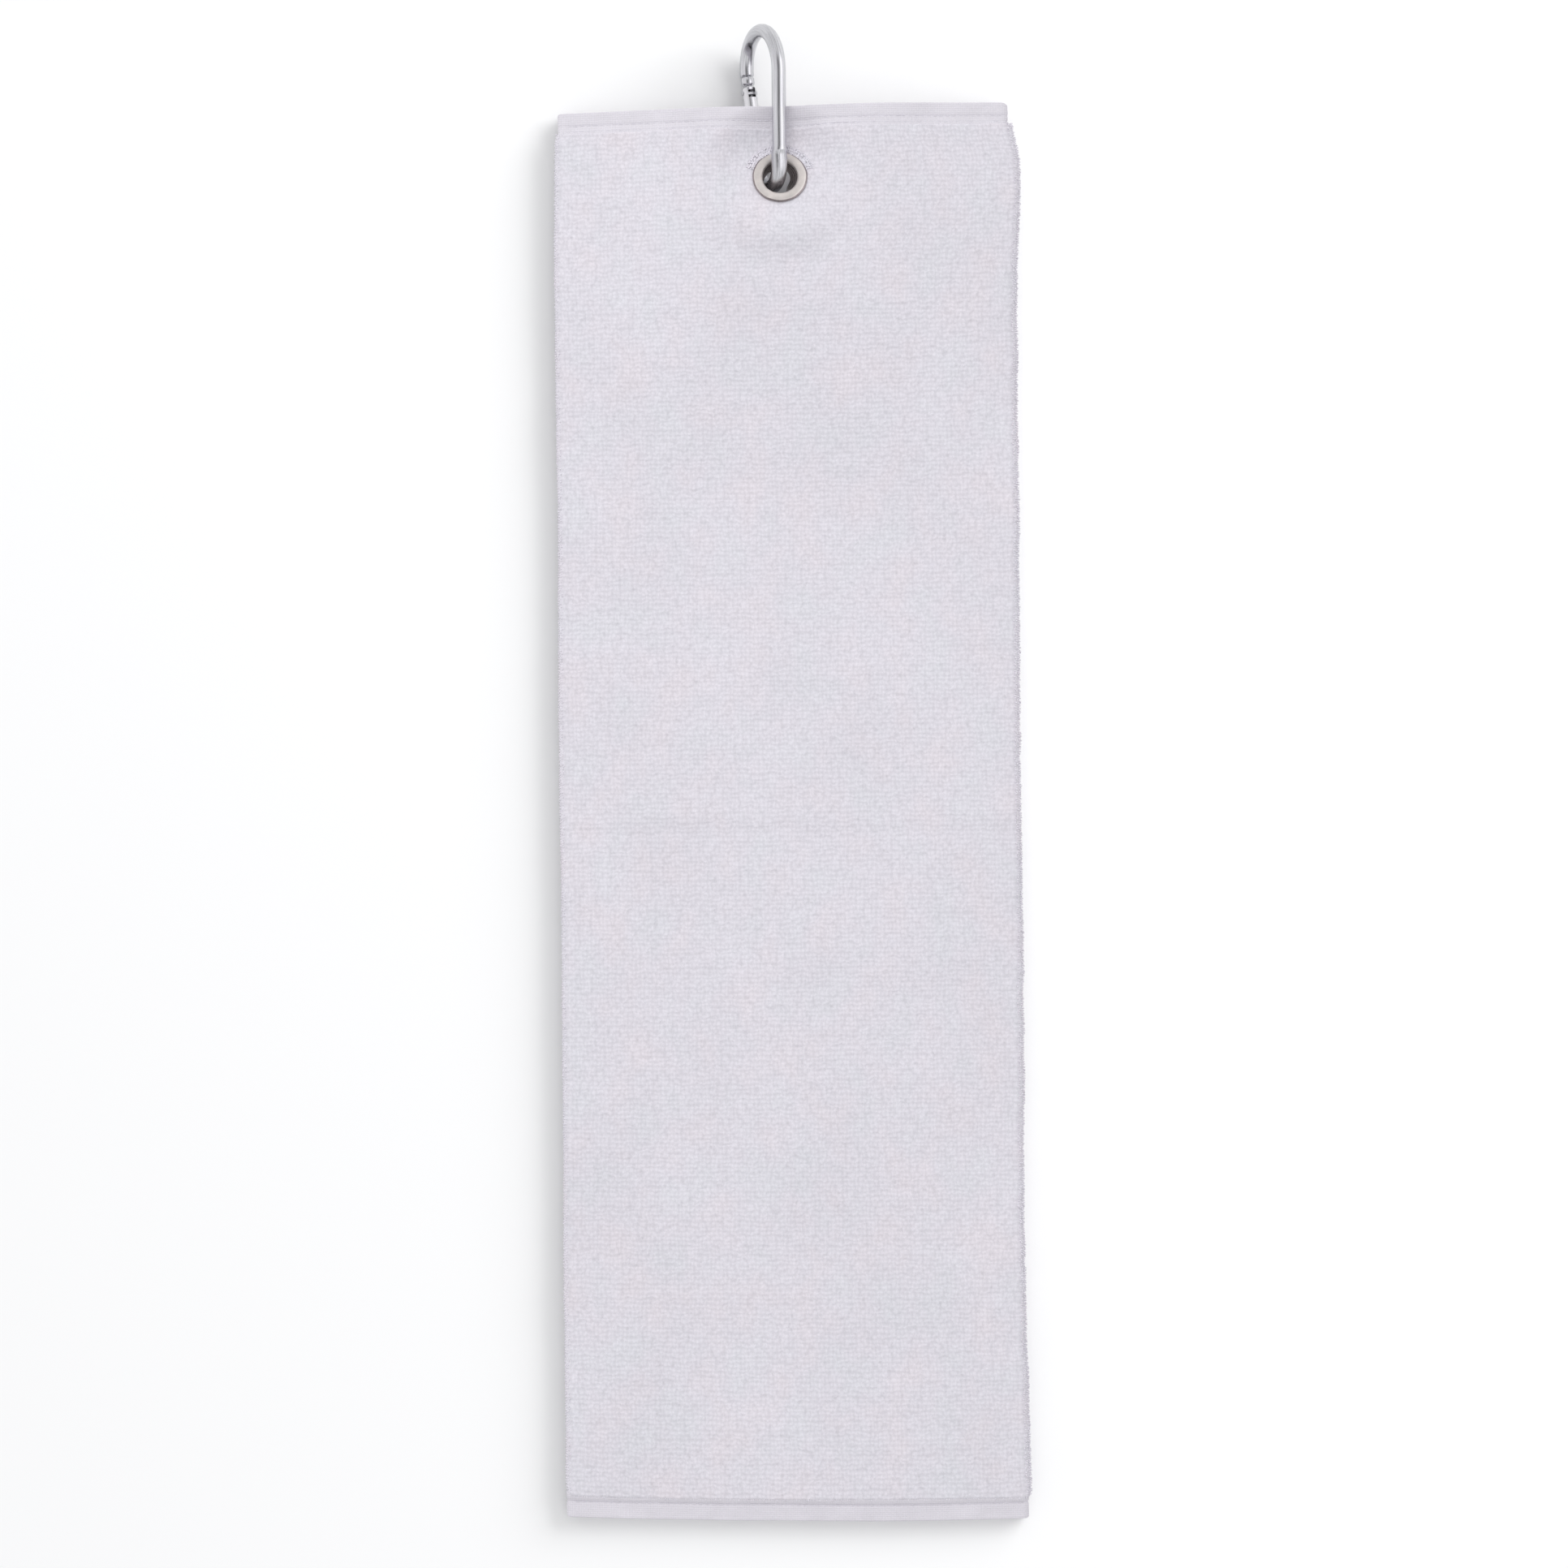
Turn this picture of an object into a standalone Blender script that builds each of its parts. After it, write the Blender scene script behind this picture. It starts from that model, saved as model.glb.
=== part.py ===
"""Golf towel: a square terry cloth folded lengthwise in three, with hems, an eyelet
through all three layers near one end, and a spring-gate carabiner through the eyelet.

It lies on z = 0 with its long axis along Y, the carabiner at the +Y end. The origin is
the middle of the whole object's footprint. All lengths are in metres.
"""

from math import atan, cos, pi, radians, sin, tan

import bmesh
import bpy
from mathutils import Matrix, Vector

# Towel
WIDTH = 0.1668             # folded width
BOTTOM_Y = -0.2656
TOP_Y = 0.237
FOLD_Y = -0.021            # crease where the towel folds in half
LAYER = 0.0020             # one layer of cloth, lightly pressed
PINCHED = 0.0016           # one layer clamped by the eyelet
HEM = 0.0015               # flat-woven hem, pile left out
GAP = 0.0003               # between pieces that touch
HEM_DEPTH = 0.0078
SIDE_HEM = 0.0080
STACK = 3 * LAYER + 2 * GAP
COARSE = 0.0085            # mesh pitch over the hump
FINE = 0.0030              # mesh pitch around the eyelet
FINE_STEPS = 5
FREE_EDGE_LEFT = 0.0030    # back flap's free edge, in from the towel's side
FREE_EDGE_RIGHT = 0.0042   # inner flap's free edge, in from the towel's side
TOP_INSETS = (0.0020, 0.0043)
BOTTOM_INSETS = (0.0006, 0.0013)

# Eyelet
EYELET_X = -0.0023
EYELET_Y = 0.2100
EYELET_Z = 0.0172          # middle of the clamped layers
EYELET_TILT = radians(18)  # its axis leans towards the top edge
PLANE_R = 0.0125           # the cloth is flat this far round it
PLANE_BLEND = 0.013
HUMP_LEAD = 0.012          # full height from here before the eyelet
HUMP_RUN = 0.080           # length of the rise before that
HUMP_START = EYELET_Y - HUMP_LEAD - HUMP_RUN - 0.002
HUMP_HALF = 0.042          # full height this far either side of the middle
HUMP_FALL = 0.037
EDGE_LIFT = 0.10           # share of the height that the top edge gains
EDGE_RUN = 0.026
BORE_R = 0.0061
BARREL_R = 0.0066
FLANGE_R = 0.0097
FLANGE_RISE = 0.0007
WASHER = 0.0005
ROLL_R = 0.0007
CLAMPED = (3 * PINCHED + 2 * GAP) * cos(EYELET_TILT)

# Carabiner
WIRE_R = 0.0025
CLIP_LENGTH = 0.060
CLIP_WIDTH = 0.027         # between wire centres at the wide end
BEND_R = 0.0085            # bend at the eyelet end
ROLL = radians(65)         # loop plane against the table
RISE = radians(10)         # spine against the table
BEND_DROP = 0.0055         # bend's middle under the eyelet's, along its axis
BEND_BACK = 0.00025        # and towards the towel, so the wire clears the barrel
SPINE_SHIFT = 0.0001
NOSE_SHORT = 0.10          # radians of the arch left off for the nose

# Gate, along the hinge pin's local X from the pin to the nose
GATE_R = 0.00265
PIN_R = 0.00075
PIN_HALF = 0.0028
PIN_HOLE_R = 0.0009
HINGE_FROM_BEND = 0.0050
SHOULDER = 0.0040          # from the hinge pin back to the wire's end
GATE_BACK = -0.0026
FORK_END = 0.0253          # far end of the gate's tube
LATCH_X = 0.0232
NOSE_END = 0.0290
TONGUE_HALF = 0.00085
NOSE_HALF = 0.0011
HEAD_R = 0.0022
BORE_SPAN = (0.0019, 0.0180)
GATE_BORE_R = 0.00165
SPRING_SPAN = (0.0070, 0.0176)
SPRING_R = 0.0011
SPRING_WIRE = 0.0002
SPRING_TURNS = 8
PLUNGER_TIP = 0.0023
PLUNGER_COLLAR = 0.0060
PLUNGER_TAIL = 0.0094
THROUGH = 0.004            # cutters reach this far past the middle


def clear_scene():
    for obj in list(bpy.data.objects):
        bpy.data.objects.remove(obj, do_unlink=True)


def new_collection(name):
    collection = bpy.data.collections.new(name)
    bpy.context.scene.collection.children.link(collection)
    return collection


clear_scene()
PARTS = new_collection("golf_towel")
CUTTERS = new_collection("cutters")


def material(name, color, roughness, metallic=0.0):
    made = bpy.data.materials.new(name)
    made.use_nodes = True
    shader = made.node_tree.nodes["Principled BSDF"]
    shader.inputs["Base Color"].default_value = (*color, 1)
    shader.inputs["Roughness"].default_value = roughness
    shader.inputs["Metallic"].default_value = metallic
    return made


TERRY = material("terry", (0.76, 0.74, 0.79), 0.95)
HEM_WEAVE = material("hem_weave", (0.70, 0.68, 0.73), 0.85)
NICKEL = material("nickel", (0.72, 0.68, 0.62), 0.25, 1.0)
ALUMINIUM = material("aluminium", (0.78, 0.79, 0.82), 0.2, 1.0)
STEEL = material("steel", (0.6, 0.6, 0.62), 0.35, 1.0)


def add(name, mesh, finish, place=None):
    """A part object of this mesh, with its own copy of the finish."""
    obj = bpy.data.objects.new(name, mesh)
    mesh.materials.clear()
    own = finish.copy()
    own.name = name
    mesh.materials.append(own)
    if place is not None:
        obj.matrix_world = place
    PARTS.objects.link(obj)
    return obj


def smooth(t):
    t = min(1.0, max(0.0, t))
    return t * t * (3 - 2 * t)


# --- Cloth ---------------------------------------------------------------------------


def eyelet_nearness(x, y):
    """1 where the eyelet clamps the cloth, falling to 0 a little way out."""
    r = Vector((x - EYELET_X, y - EYELET_Y)).length
    return 1 - smooth((r - PLANE_R) / PLANE_BLEND)


def thickness(x, y):
    return LAYER + (PINCHED - LAYER) * eyelet_nearness(x, y)


def underside(x, y):
    """Height of the stack's lower face: flat on the table, and lifted where the
    carabiner lies under it."""
    base = EYELET_Z - (3 * PINCHED + 2 * GAP) / 2
    across = 1 - smooth((abs(x) - HUMP_HALF) / HUMP_FALL)
    along = 1 - smooth((EYELET_Y - HUMP_LEAD - y) / HUMP_RUN)
    edge = 1 + EDGE_LIFT * smooth((y - EYELET_Y) / EDGE_RUN)
    broad = base * across * along * edge
    tilted = base - tan(EYELET_TILT) * (y - EYELET_Y)
    near = eyelet_nearness(x, y)
    return broad + (tilted - broad) * near


def spread(low, high, centre):
    """Stations from low to high, closer together around the eyelet's centre."""
    count = max(1, round((high - low) / COARSE))
    coarse = [low + (high - low) * i / count for i in range(count + 1)]
    reach = FINE * FINE_STEPS
    near = [centre + FINE * i for i in range(-FINE_STEPS, FINE_STEPS + 1)]
    near = [s for s in near if low + FINE / 2 < s < high - FINE / 2]
    far = [s for s in coarse if abs(s - centre) > reach + FINE or s in (low, high)]
    return sorted(far + near)


def sheet(name, x_span, y_span, lift, thick, finish):
    """A closed layer of cloth that follows the stack's underside at a lift above it.
    lift and thick are functions of (x, y)."""
    rows, columns = list(y_span), list(x_span)
    if y_span[1] > HUMP_START:
        start = max(HUMP_START, y_span[0])
        rows = sorted({y_span[0], *spread(start, y_span[1], EYELET_Y)})
        columns = spread(*x_span, EYELET_X)
    bm = bmesh.new()
    bmesh.ops.create_grid(bm, x_segments=len(columns) - 1, y_segments=len(rows) - 1, size=0.5)
    for v in bm.verts:
        column = round((v.co.x + 0.5) * (len(columns) - 1))
        row = round((v.co.y + 0.5) * (len(rows) - 1))
        x, y = columns[column], rows[row]
        v.co = (x, y, underside(x, y) + lift(x, y))
    raised = bmesh.ops.extrude_face_region(bm, geom=list(bm.faces), use_keep_orig=True)["geom"]
    for v in (g for g in raised if isinstance(g, bmesh.types.BMVert)):
        v.co.z += thick(v.co.x, v.co.y)
    bmesh.ops.recalc_face_normals(bm, faces=bm.faces)
    mesh = bpy.data.meshes.new(name)
    bm.to_mesh(mesh)
    bm.free()
    return add(name, mesh, finish)


def layer_lift(layer):
    return lambda x, y: layer * (thickness(x, y) + GAP)


def side_hem_lift(layer):
    """A side hem is thinner than its layer, and lies in the middle of it."""
    return lambda x, y: layer * (LAYER + GAP) + (LAYER - HEM) / 2


def end_hem_lift(layer):
    return lambda x, y: layer * (HEM + GAP)


def hem_thickness(x, y):
    return HEM


def fold_strip(name, side, y_span, low, high, finish):
    """A rounded side fold, between the heights of the lowest and the highest face that
    it joins."""
    outer = (high - low) / 2
    inner = outer - LAYER
    middle = (high + low) / 2
    arc = [radians(-90 + 15 * i) for i in range(13)]
    points = [(outer * cos(t), outer * sin(t)) for t in arc]
    points += [(inner * cos(t), inner * sin(t)) for t in reversed(arc)]
    bm = bmesh.new()
    edge_x = side * (WIDTH / 2 - outer)
    ring = [bm.verts.new((edge_x + side * p, y_span[0], middle + q)) for p, q in points]
    bm.faces.new(ring)
    out = bmesh.ops.extrude_face_region(bm, geom=list(bm.faces), use_keep_orig=True)["geom"]
    moved = [g for g in out if isinstance(g, bmesh.types.BMVert)]
    bmesh.ops.translate(bm, verts=moved, vec=(0, y_span[1] - y_span[0], 0))
    bmesh.ops.recalc_face_normals(bm, faces=bm.faces)
    mesh = bpy.data.meshes.new(name)
    bm.to_mesh(mesh)
    bm.free()
    return add(name, mesh, finish)


def build_cloth():
    """Three layers, counted from the table: back flap, inner flap, front panel. The
    left fold joins the front panel to the inner flap, the right fold joins it to the
    back flap, and each flap's free edge has a narrow side hem."""
    half = WIDTH / 2
    left_r = (2 * LAYER + GAP) / 2
    right_r = STACK / 2
    left, right = -half + left_r + GAP, half - right_r - GAP
    hem_y = (BOTTOM_Y + HEM_DEPTH + GAP, TOP_Y - HEM_DEPTH - GAP)
    halves = {
        "upper": (FOLD_Y + GAP / 2, hem_y[1]),
        "lower": (hem_y[0], FOLD_Y - GAP / 2),
    }
    back_free, inner_free = -half + FREE_EDGE_LEFT, half - FREE_EDGE_RIGHT
    layers = {
        "back_flap": (0, back_free + SIDE_HEM + GAP, right),
        "inner_flap": (1, left, inner_free - SIDE_HEM - GAP),
        "front_panel": (2, left, right),
    }
    side_hems = {
        "back_flap_side_hem": (0, back_free, back_free + SIDE_HEM),
        "inner_flap_side_hem": (1, inner_free - SIDE_HEM, inner_free),
    }
    upper_panels = []
    for part, y_span in halves.items():
        for layer_name, (layer, x0, x1) in layers.items():
            name = f"{layer_name}_{part}"
            panel = sheet(name, (x0, x1), y_span, layer_lift(layer), thickness, TERRY)
            if part == "upper":
                upper_panels.append(panel)
        for hem_name, (layer, x0, x1) in side_hems.items():
            name = f"{hem_name}_{part}"
            sheet(name, (x0, x1), y_span, side_hem_lift(layer), hem_thickness, HEM_WEAVE)
        fold_strip(f"left_fold_{part}", -1, y_span, LAYER + GAP, STACK, TERRY)
        fold_strip(f"right_fold_{part}", 1, y_span, 0, STACK, TERRY)
    ends = {
        "top": (TOP_Y - HEM_DEPTH, TOP_Y, *TOP_INSETS),
        "bottom": (BOTTOM_Y, BOTTOM_Y + HEM_DEPTH, *BOTTOM_INSETS),
    }
    for end, (y0, y1, left_inset, right_inset) in ends.items():
        x_span = (-half + left_inset, half - right_inset)
        for layer, layer_name in enumerate(layers):
            name = f"{layer_name}_{end}_hem"
            sheet(name, x_span, (y0, y1), end_hem_lift(layer), hem_thickness, HEM_WEAVE)
    return upper_panels


# --- Shared tools for the metal parts ---------------------------------------------------


def placed(origin, x_axis, y_axis, z_axis):
    turn = Matrix((x_axis, y_axis, z_axis)).transposed().to_4x4()
    return Matrix.Translation(origin) @ turn


def turned(name, profile, steps=32):
    """A mesh turned about local Z from (radius, height) points down its outer side and
    back up its inner side."""
    mesh = bpy.data.meshes.new(name)
    bm = bmesh.new()
    verts = [bm.verts.new((r, 0, h)) for r, h in profile]
    closed_ring = all(r > 0 for r, _ in profile)
    pairs = list(zip(verts, verts[1:])) + ([(verts[-1], verts[0])] if closed_ring else [])
    for pair in pairs:
        bm.edges.new(pair)
    bm.to_mesh(mesh)
    bm.free()
    guide = bpy.data.objects.new(name, mesh)
    PARTS.objects.link(guide)
    screw = guide.modifiers.new("Turn", "SCREW")
    screw.steps = steps
    screw.render_steps = steps
    screw.use_merge_vertices = True
    screw.merge_threshold = 0.00001
    return evaluated_mesh(guide, name)


def evaluated_mesh(guide, name):
    """The guide's evaluated mesh, welded, with the guide itself removed."""
    bpy.context.view_layer.update()
    graph = bpy.context.evaluated_depsgraph_get()
    mesh = bpy.data.meshes.new_from_object(guide.evaluated_get(graph))
    mesh.name = name
    bpy.data.objects.remove(guide, do_unlink=True)
    bm = bmesh.new()
    bm.from_mesh(mesh)
    bmesh.ops.remove_doubles(bm, verts=bm.verts, dist=0.000005)
    bmesh.ops.recalc_face_normals(bm, faces=bm.faces)
    if bm.calc_volume(signed=True) < 0:
        bmesh.ops.reverse_faces(bm, faces=bm.faces)
    bm.to_mesh(mesh)
    bm.free()
    return mesh


def wire(name, points, radius, resolution=4):
    curve = bpy.data.curves.new(name, "CURVE")
    curve.dimensions = "3D"
    curve.bevel_depth = radius
    curve.bevel_resolution = resolution
    curve.use_fill_caps = True
    spline = curve.splines.new("POLY")
    spline.points.add(len(points) - 1)
    for point, place in zip(spline.points, points):
        point.co = (*place, 1)
    guide = bpy.data.objects.new(name, curve)
    PARTS.objects.link(guide)
    return evaluated_mesh(guide, name)


def rod(name, radius, start, end, axis="X", sides=24):
    """A cylinder mesh along a local axis between two stations."""
    bm = bmesh.new()
    bmesh.ops.create_cone(
        bm, cap_ends=True, segments=sides, radius1=radius, radius2=radius, depth=end - start
    )
    if axis == "X":
        bmesh.ops.rotate(bm, verts=bm.verts, matrix=Matrix.Rotation(pi / 2, 3, "Y"))
        bmesh.ops.translate(bm, verts=bm.verts, vec=((start + end) / 2, 0, 0))
    else:
        bmesh.ops.translate(bm, verts=bm.verts, vec=(0, 0, (start + end) / 2))
    mesh = bpy.data.meshes.new(name)
    bm.to_mesh(mesh)
    bm.free()
    return mesh


def block(name, x_span, y_span, z_span):
    bm = bmesh.new()
    bmesh.ops.create_cube(bm, size=1)
    for v in bm.verts:
        v.co = [
            low if part < 0 else high
            for part, (low, high) in zip(v.co, (x_span, y_span, z_span))
        ]
    mesh = bpy.data.meshes.new(name)
    bm.to_mesh(mesh)
    bm.free()
    return mesh


def tool(name, mesh, place):
    """A helper for a Boolean, left out of the part."""
    obj = bpy.data.objects.new(name, mesh)
    obj.matrix_world = place
    obj.hide_render = True
    obj.display_type = "WIRE"
    CUTTERS.objects.link(obj)
    return obj


def boolean(obj, helper, operation="DIFFERENCE"):
    modifier = obj.modifiers.new(helper.name, "BOOLEAN")
    modifier.operation = operation
    modifier.object = helper
    modifier.solver = "EXACT"


# --- Eyelet ----------------------------------------------------------------------------

TILT_AXIS = Vector((0, sin(EYELET_TILT), cos(EYELET_TILT)))
TILT_DOWN = Vector((0, cos(EYELET_TILT), -sin(EYELET_TILT)))
EYELET_CENTRE = Vector((EYELET_X, EYELET_Y, EYELET_Z))
EYELET_PLACE = placed(EYELET_CENTRE, Vector((1, 0, 0)), TILT_DOWN, TILT_AXIS)


def build_eyelet(panels):
    """A barrel with a rounded front flange, its back end rolled over a washer."""
    face = CLAMPED / 2 + GAP
    middle, bulge = (BORE_R + FLANGE_R) / 2, (FLANGE_R - BORE_R) / 2
    crown = [radians(22.5 * i) for i in range(9)]
    dome = [(middle + bulge * cos(t), face + FLANGE_RISE * sin(t)) for t in crown]
    back = -face - WASHER - 2 * GAP
    roll = [
        (BORE_R + ROLL_R * (1 + cos(t)), back + ROLL_R * sin(t)) for t in (pi + c for c in crown)
    ]
    profile = dome + roll + [(BARREL_R, back), (BARREL_R, face)]
    add("eyelet", turned("eyelet", profile), NICKEL, EYELET_PLACE)

    inner, outer = BARREL_R + GAP, FLANGE_R - 0.0001
    ring = [(outer, -face), (outer, -face - WASHER), (inner, -face - WASHER), (inner, -face)]
    add("eyelet_washer", turned("eyelet_washer", ring), NICKEL, EYELET_PLACE)

    reach = 3 * THROUGH
    punch_mesh = rod("eyelet_punch", BARREL_R + GAP, -reach, reach, "Z")
    punch = tool("eyelet_punch", punch_mesh, EYELET_PLACE)
    for panel in panels:
        boolean(panel, punch)


# --- Carabiner --------------------------------------------------------------------------

ALONG = Vector((0, cos(RISE), sin(RISE)))
ACROSS = Vector((cos(ROLL), -sin(ROLL) * sin(RISE), sin(ROLL) * cos(RISE)))
BEND = EYELET_CENTRE - TILT_AXIS * BEND_DROP - TILT_DOWN * BEND_BACK
BEND.x = EYELET_X - SPINE_SHIFT - BEND_R * ACROSS.x

ARCH_R = CLIP_WIDTH / 2
ARCH_U = CLIP_LENGTH - 2 * WIRE_R - ARCH_R
ARCH_V = BEND_R - ARCH_R
SLANT = 2 * atan((ARCH_R - BEND_R) / (ARCH_U - BEND_R))


def in_loop(u, v):
    """A point in the loop's plane: u from the bend along the spine, v towards the spine."""
    return BEND + ALONG * u + ACROSS * v


GATE_START = (BEND_R - BEND_R * sin(SLANT), -BEND_R * cos(SLANT))
HINGE_U = GATE_START[0] + HINGE_FROM_BEND * cos(SLANT)
HINGE_V = GATE_START[1] - HINGE_FROM_BEND * sin(SLANT)
GATE_ALONG = ALONG * cos(SLANT) - ACROSS * sin(SLANT)
GATE_IN = ALONG * sin(SLANT) + ACROSS * cos(SLANT)
GATE_PLACE = placed(in_loop(HINGE_U, HINGE_V), GATE_ALONG, GATE_IN, GATE_ALONG.cross(GATE_IN))


def frame_path():
    """Wire centres from the nose round the arch, down the spine and round the bend."""
    nose_turn = pi + SLANT - NOSE_SHORT
    points = []
    for i in range(17):
        t = nose_turn * (1 - i / 16)
        points.append(in_loop(ARCH_U + ARCH_R * sin(t), ARCH_V + ARCH_R * cos(t)))
    for i in range(1, 4):
        points.append(in_loop(ARCH_U + (BEND_R - ARCH_U) * i / 4, BEND_R))
    sweep = pi - SLANT
    for i in range(13):
        t = sweep * i / 12
        points.append(in_loop(BEND_R - BEND_R * sin(t), BEND_R * cos(t)))
    hinge = Vector((HINGE_U, HINGE_V))
    end = hinge - Vector((cos(SLANT), -sin(SLANT))) * SHOULDER
    points.append(in_loop(*end))
    return points


def build_frame():
    """The bent wire with a flat hinge tongue at one end and a hooked nose at the other."""
    frame = add("carabiner_frame", wire("carabiner_frame", frame_path(), WIRE_R), ALUMINIUM)
    tongue_x = (-SHOULDER - 0.0012, 0.0020)
    tongue_mesh = block("hinge_tongue", tongue_x, (-0.0020, 0.0020), (-TONGUE_HALF, TONGUE_HALF))
    nose_mesh = block("nose_tongue", (0.0219, 0.0272), (-0.0021, 0.0017), (-NOSE_HALF, NOSE_HALF))
    head_mesh = rod("nose_head", HEAD_R, FORK_END + 0.0005, NOSE_END + 0.0008)
    for mesh in (tongue_mesh, nose_mesh, head_mesh):
        boolean(frame, tool(mesh.name, mesh, GATE_PLACE), "UNION")
    hole_mesh = rod("hinge_hole", PIN_HOLE_R, -THROUGH, THROUGH, "Z")
    notch_x = (LATCH_X - 0.0010, LATCH_X + 0.0010)
    notch_mesh = block("nose_notch", notch_x, (-0.0010, THROUGH), (-THROUGH, THROUGH))
    for mesh in (hole_mesh, notch_mesh):
        boolean(frame, tool(mesh.name, mesh, GATE_PLACE))


def build_gate():
    """A bored tube, slotted at both ends, with the spring and its plunger inside."""
    gate = add("gate", rod("gate", GATE_R, GATE_BACK, FORK_END), ALUMINIUM, GATE_PLACE)
    latch_place = GATE_PLACE @ Matrix.Translation((LATCH_X, 0, 0))
    across = (-THROUGH, THROUGH)
    hinge_slot = block("hinge_slot", (-0.0050, 0.0034), across, (-0.00115, 0.00115))
    latch_slot = block("latch_slot", (0.0212, NOSE_END), across, (-0.00140, 0.00140))
    for mesh in (hinge_slot, latch_slot, rod("gate_bore", GATE_BORE_R, *BORE_SPAN)):
        boolean(gate, tool(mesh.name, mesh, GATE_PLACE))
    for name, place in (("hinge_pin", GATE_PLACE), ("latch_pin", latch_place)):
        hole = rod(name + "_hole", PIN_HOLE_R, -THROUGH, THROUGH, "Z")
        boolean(gate, tool(hole.name, hole, place))
        add(name, rod(name, PIN_R, -PIN_HALF, PIN_HALF, "Z", 16), STEEL, place)

    along_x = Matrix.Rotation(pi / 2, 4, "Y")
    stem, collar = 0.0006, GATE_BORE_R - 0.0002
    plunger = [
        (0, PLUNGER_TAIL),
        (stem, PLUNGER_TAIL),
        (stem, PLUNGER_COLLAR),
        (collar, PLUNGER_COLLAR),
        (collar, PLUNGER_TIP),
        (0, PLUNGER_TIP),
    ]
    add("gate_plunger", turned("gate_plunger", plunger, 16), STEEL, GATE_PLACE @ along_x)

    steps = 10
    start, end = SPRING_SPAN
    coil = []
    for i in range(SPRING_TURNS * steps + 1):
        t = 2 * pi * i / steps
        x = start + (end - start) * i / (SPRING_TURNS * steps)
        coil.append((x, SPRING_R * cos(t), SPRING_R * sin(t)))
    add("gate_spring", wire("gate_spring", coil, SPRING_WIRE, 2), STEEL, GATE_PLACE)


build_eyelet(build_cloth())
build_frame()
build_gate()
for part in PARTS.objects:
    if part.name.startswith(("eyelet", "carabiner", "gate", "hinge", "latch")):
        part.data.shade_smooth()
        part.data.set_sharp_from_angle(angle=radians(35))
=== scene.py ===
"""Looks of the golf towel: a velour terry cloth folded lengthwise in three, its woven
hems with their stitching, a nickel eyelet and a polished aluminium carabiner."""

from math import atan, cos, pi, radians, sin, sqrt, tan

import bmesh
import bpy
import numpy as np
from mathutils import Matrix, Vector, kdtree


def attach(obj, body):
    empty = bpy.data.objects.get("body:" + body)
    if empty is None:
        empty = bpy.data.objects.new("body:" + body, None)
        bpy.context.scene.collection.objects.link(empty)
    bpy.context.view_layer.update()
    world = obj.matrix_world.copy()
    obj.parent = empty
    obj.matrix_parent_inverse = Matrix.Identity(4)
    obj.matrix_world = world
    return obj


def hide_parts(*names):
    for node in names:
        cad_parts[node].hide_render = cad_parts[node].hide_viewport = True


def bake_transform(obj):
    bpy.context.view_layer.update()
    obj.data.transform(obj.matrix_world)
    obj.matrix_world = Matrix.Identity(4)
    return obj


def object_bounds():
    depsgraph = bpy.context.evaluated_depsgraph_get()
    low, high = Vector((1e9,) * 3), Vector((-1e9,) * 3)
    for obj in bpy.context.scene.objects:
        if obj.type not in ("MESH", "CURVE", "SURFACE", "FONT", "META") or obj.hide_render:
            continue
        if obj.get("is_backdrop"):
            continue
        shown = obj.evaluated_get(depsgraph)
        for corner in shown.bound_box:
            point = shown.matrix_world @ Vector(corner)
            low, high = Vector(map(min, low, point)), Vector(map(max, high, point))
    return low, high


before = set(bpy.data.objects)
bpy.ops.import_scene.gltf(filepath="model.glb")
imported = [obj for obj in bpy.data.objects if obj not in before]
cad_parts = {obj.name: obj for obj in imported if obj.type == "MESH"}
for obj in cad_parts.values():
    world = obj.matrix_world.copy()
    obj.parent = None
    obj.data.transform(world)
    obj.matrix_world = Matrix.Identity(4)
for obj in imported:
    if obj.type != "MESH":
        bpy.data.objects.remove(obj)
cad_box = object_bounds()

# The cloth, in metres, as in the part
HALF = 0.0834  # half the folded width
BOTTOM_Y, TOP_Y, FOLD_Y = -0.2656, 0.237, -0.021
LAYER, PINCHED, HEM, GAP = 0.0020, 0.0016, 0.0015, 0.0003  # thicknesses, and between layers
HEM_DEPTH, SIDE_HEM = 0.0078, 0.0080
HEM_LIFT = 0.00025  # of an end hem, where it meets the pile
STACK = 3 * LAYER + 2 * GAP
BACK_FREE, INNER_FREE = -HALF + 0.0030, HALF - 0.0042  # free edges of the two flaps
HEM_INSETS = {"top": (0.0020, 0.0043), "bottom": (0.0006, 0.0013)}  # left and right
STITCH_ROWS = {"top": (0.0046, 0.0068), "bottom": (0.0058,)}  # from the hem's outer edge

# The eyelet: the stack lies in its tilted plane out to PLANE_R
EYELET = Vector((-0.0023, 0.2100, 0.0172))
TILT = radians(18)
PLANE_R, PLANE_BLEND = 0.0125, 0.017
AXIS = Vector((0, sin(TILT), cos(TILT)))
UPHILL = Vector((0, cos(TILT), -sin(TILT)))  # in its plane, towards the top edge
CLAMPED = (3 * PINCHED + 2 * GAP) * cos(TILT)

# The hump over the carabiner: half its level top, its fall to each side, its run down the
# towel, and how much higher the top edge stands than the eyelet
HUMP_TOP, HUMP_SIDE, HUMP_RUN, EDGE_LIFT = 0.017, 0.066, 0.110, 0.11

PITCH, COARSE = 0.0019, 0.0062  # mesh pitch on the front, and on the hidden layers
ROW, COLUMN = 0.00173, 0.00145  # pitch of the pile's rows and columns

LAYERS = ("front_panel", "inner_flap", "back_flap")
CLOTH_PARTS = LAYERS + ("left_fold", "right_fold", "inner_flap_side_hem", "back_flap_side_hem")


# --- Small tools ------------------------------------------------------------------------


def smooth(t):
    t = np.clip(t, 0, 1)
    return t * t * (3 - 2 * t)


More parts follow.
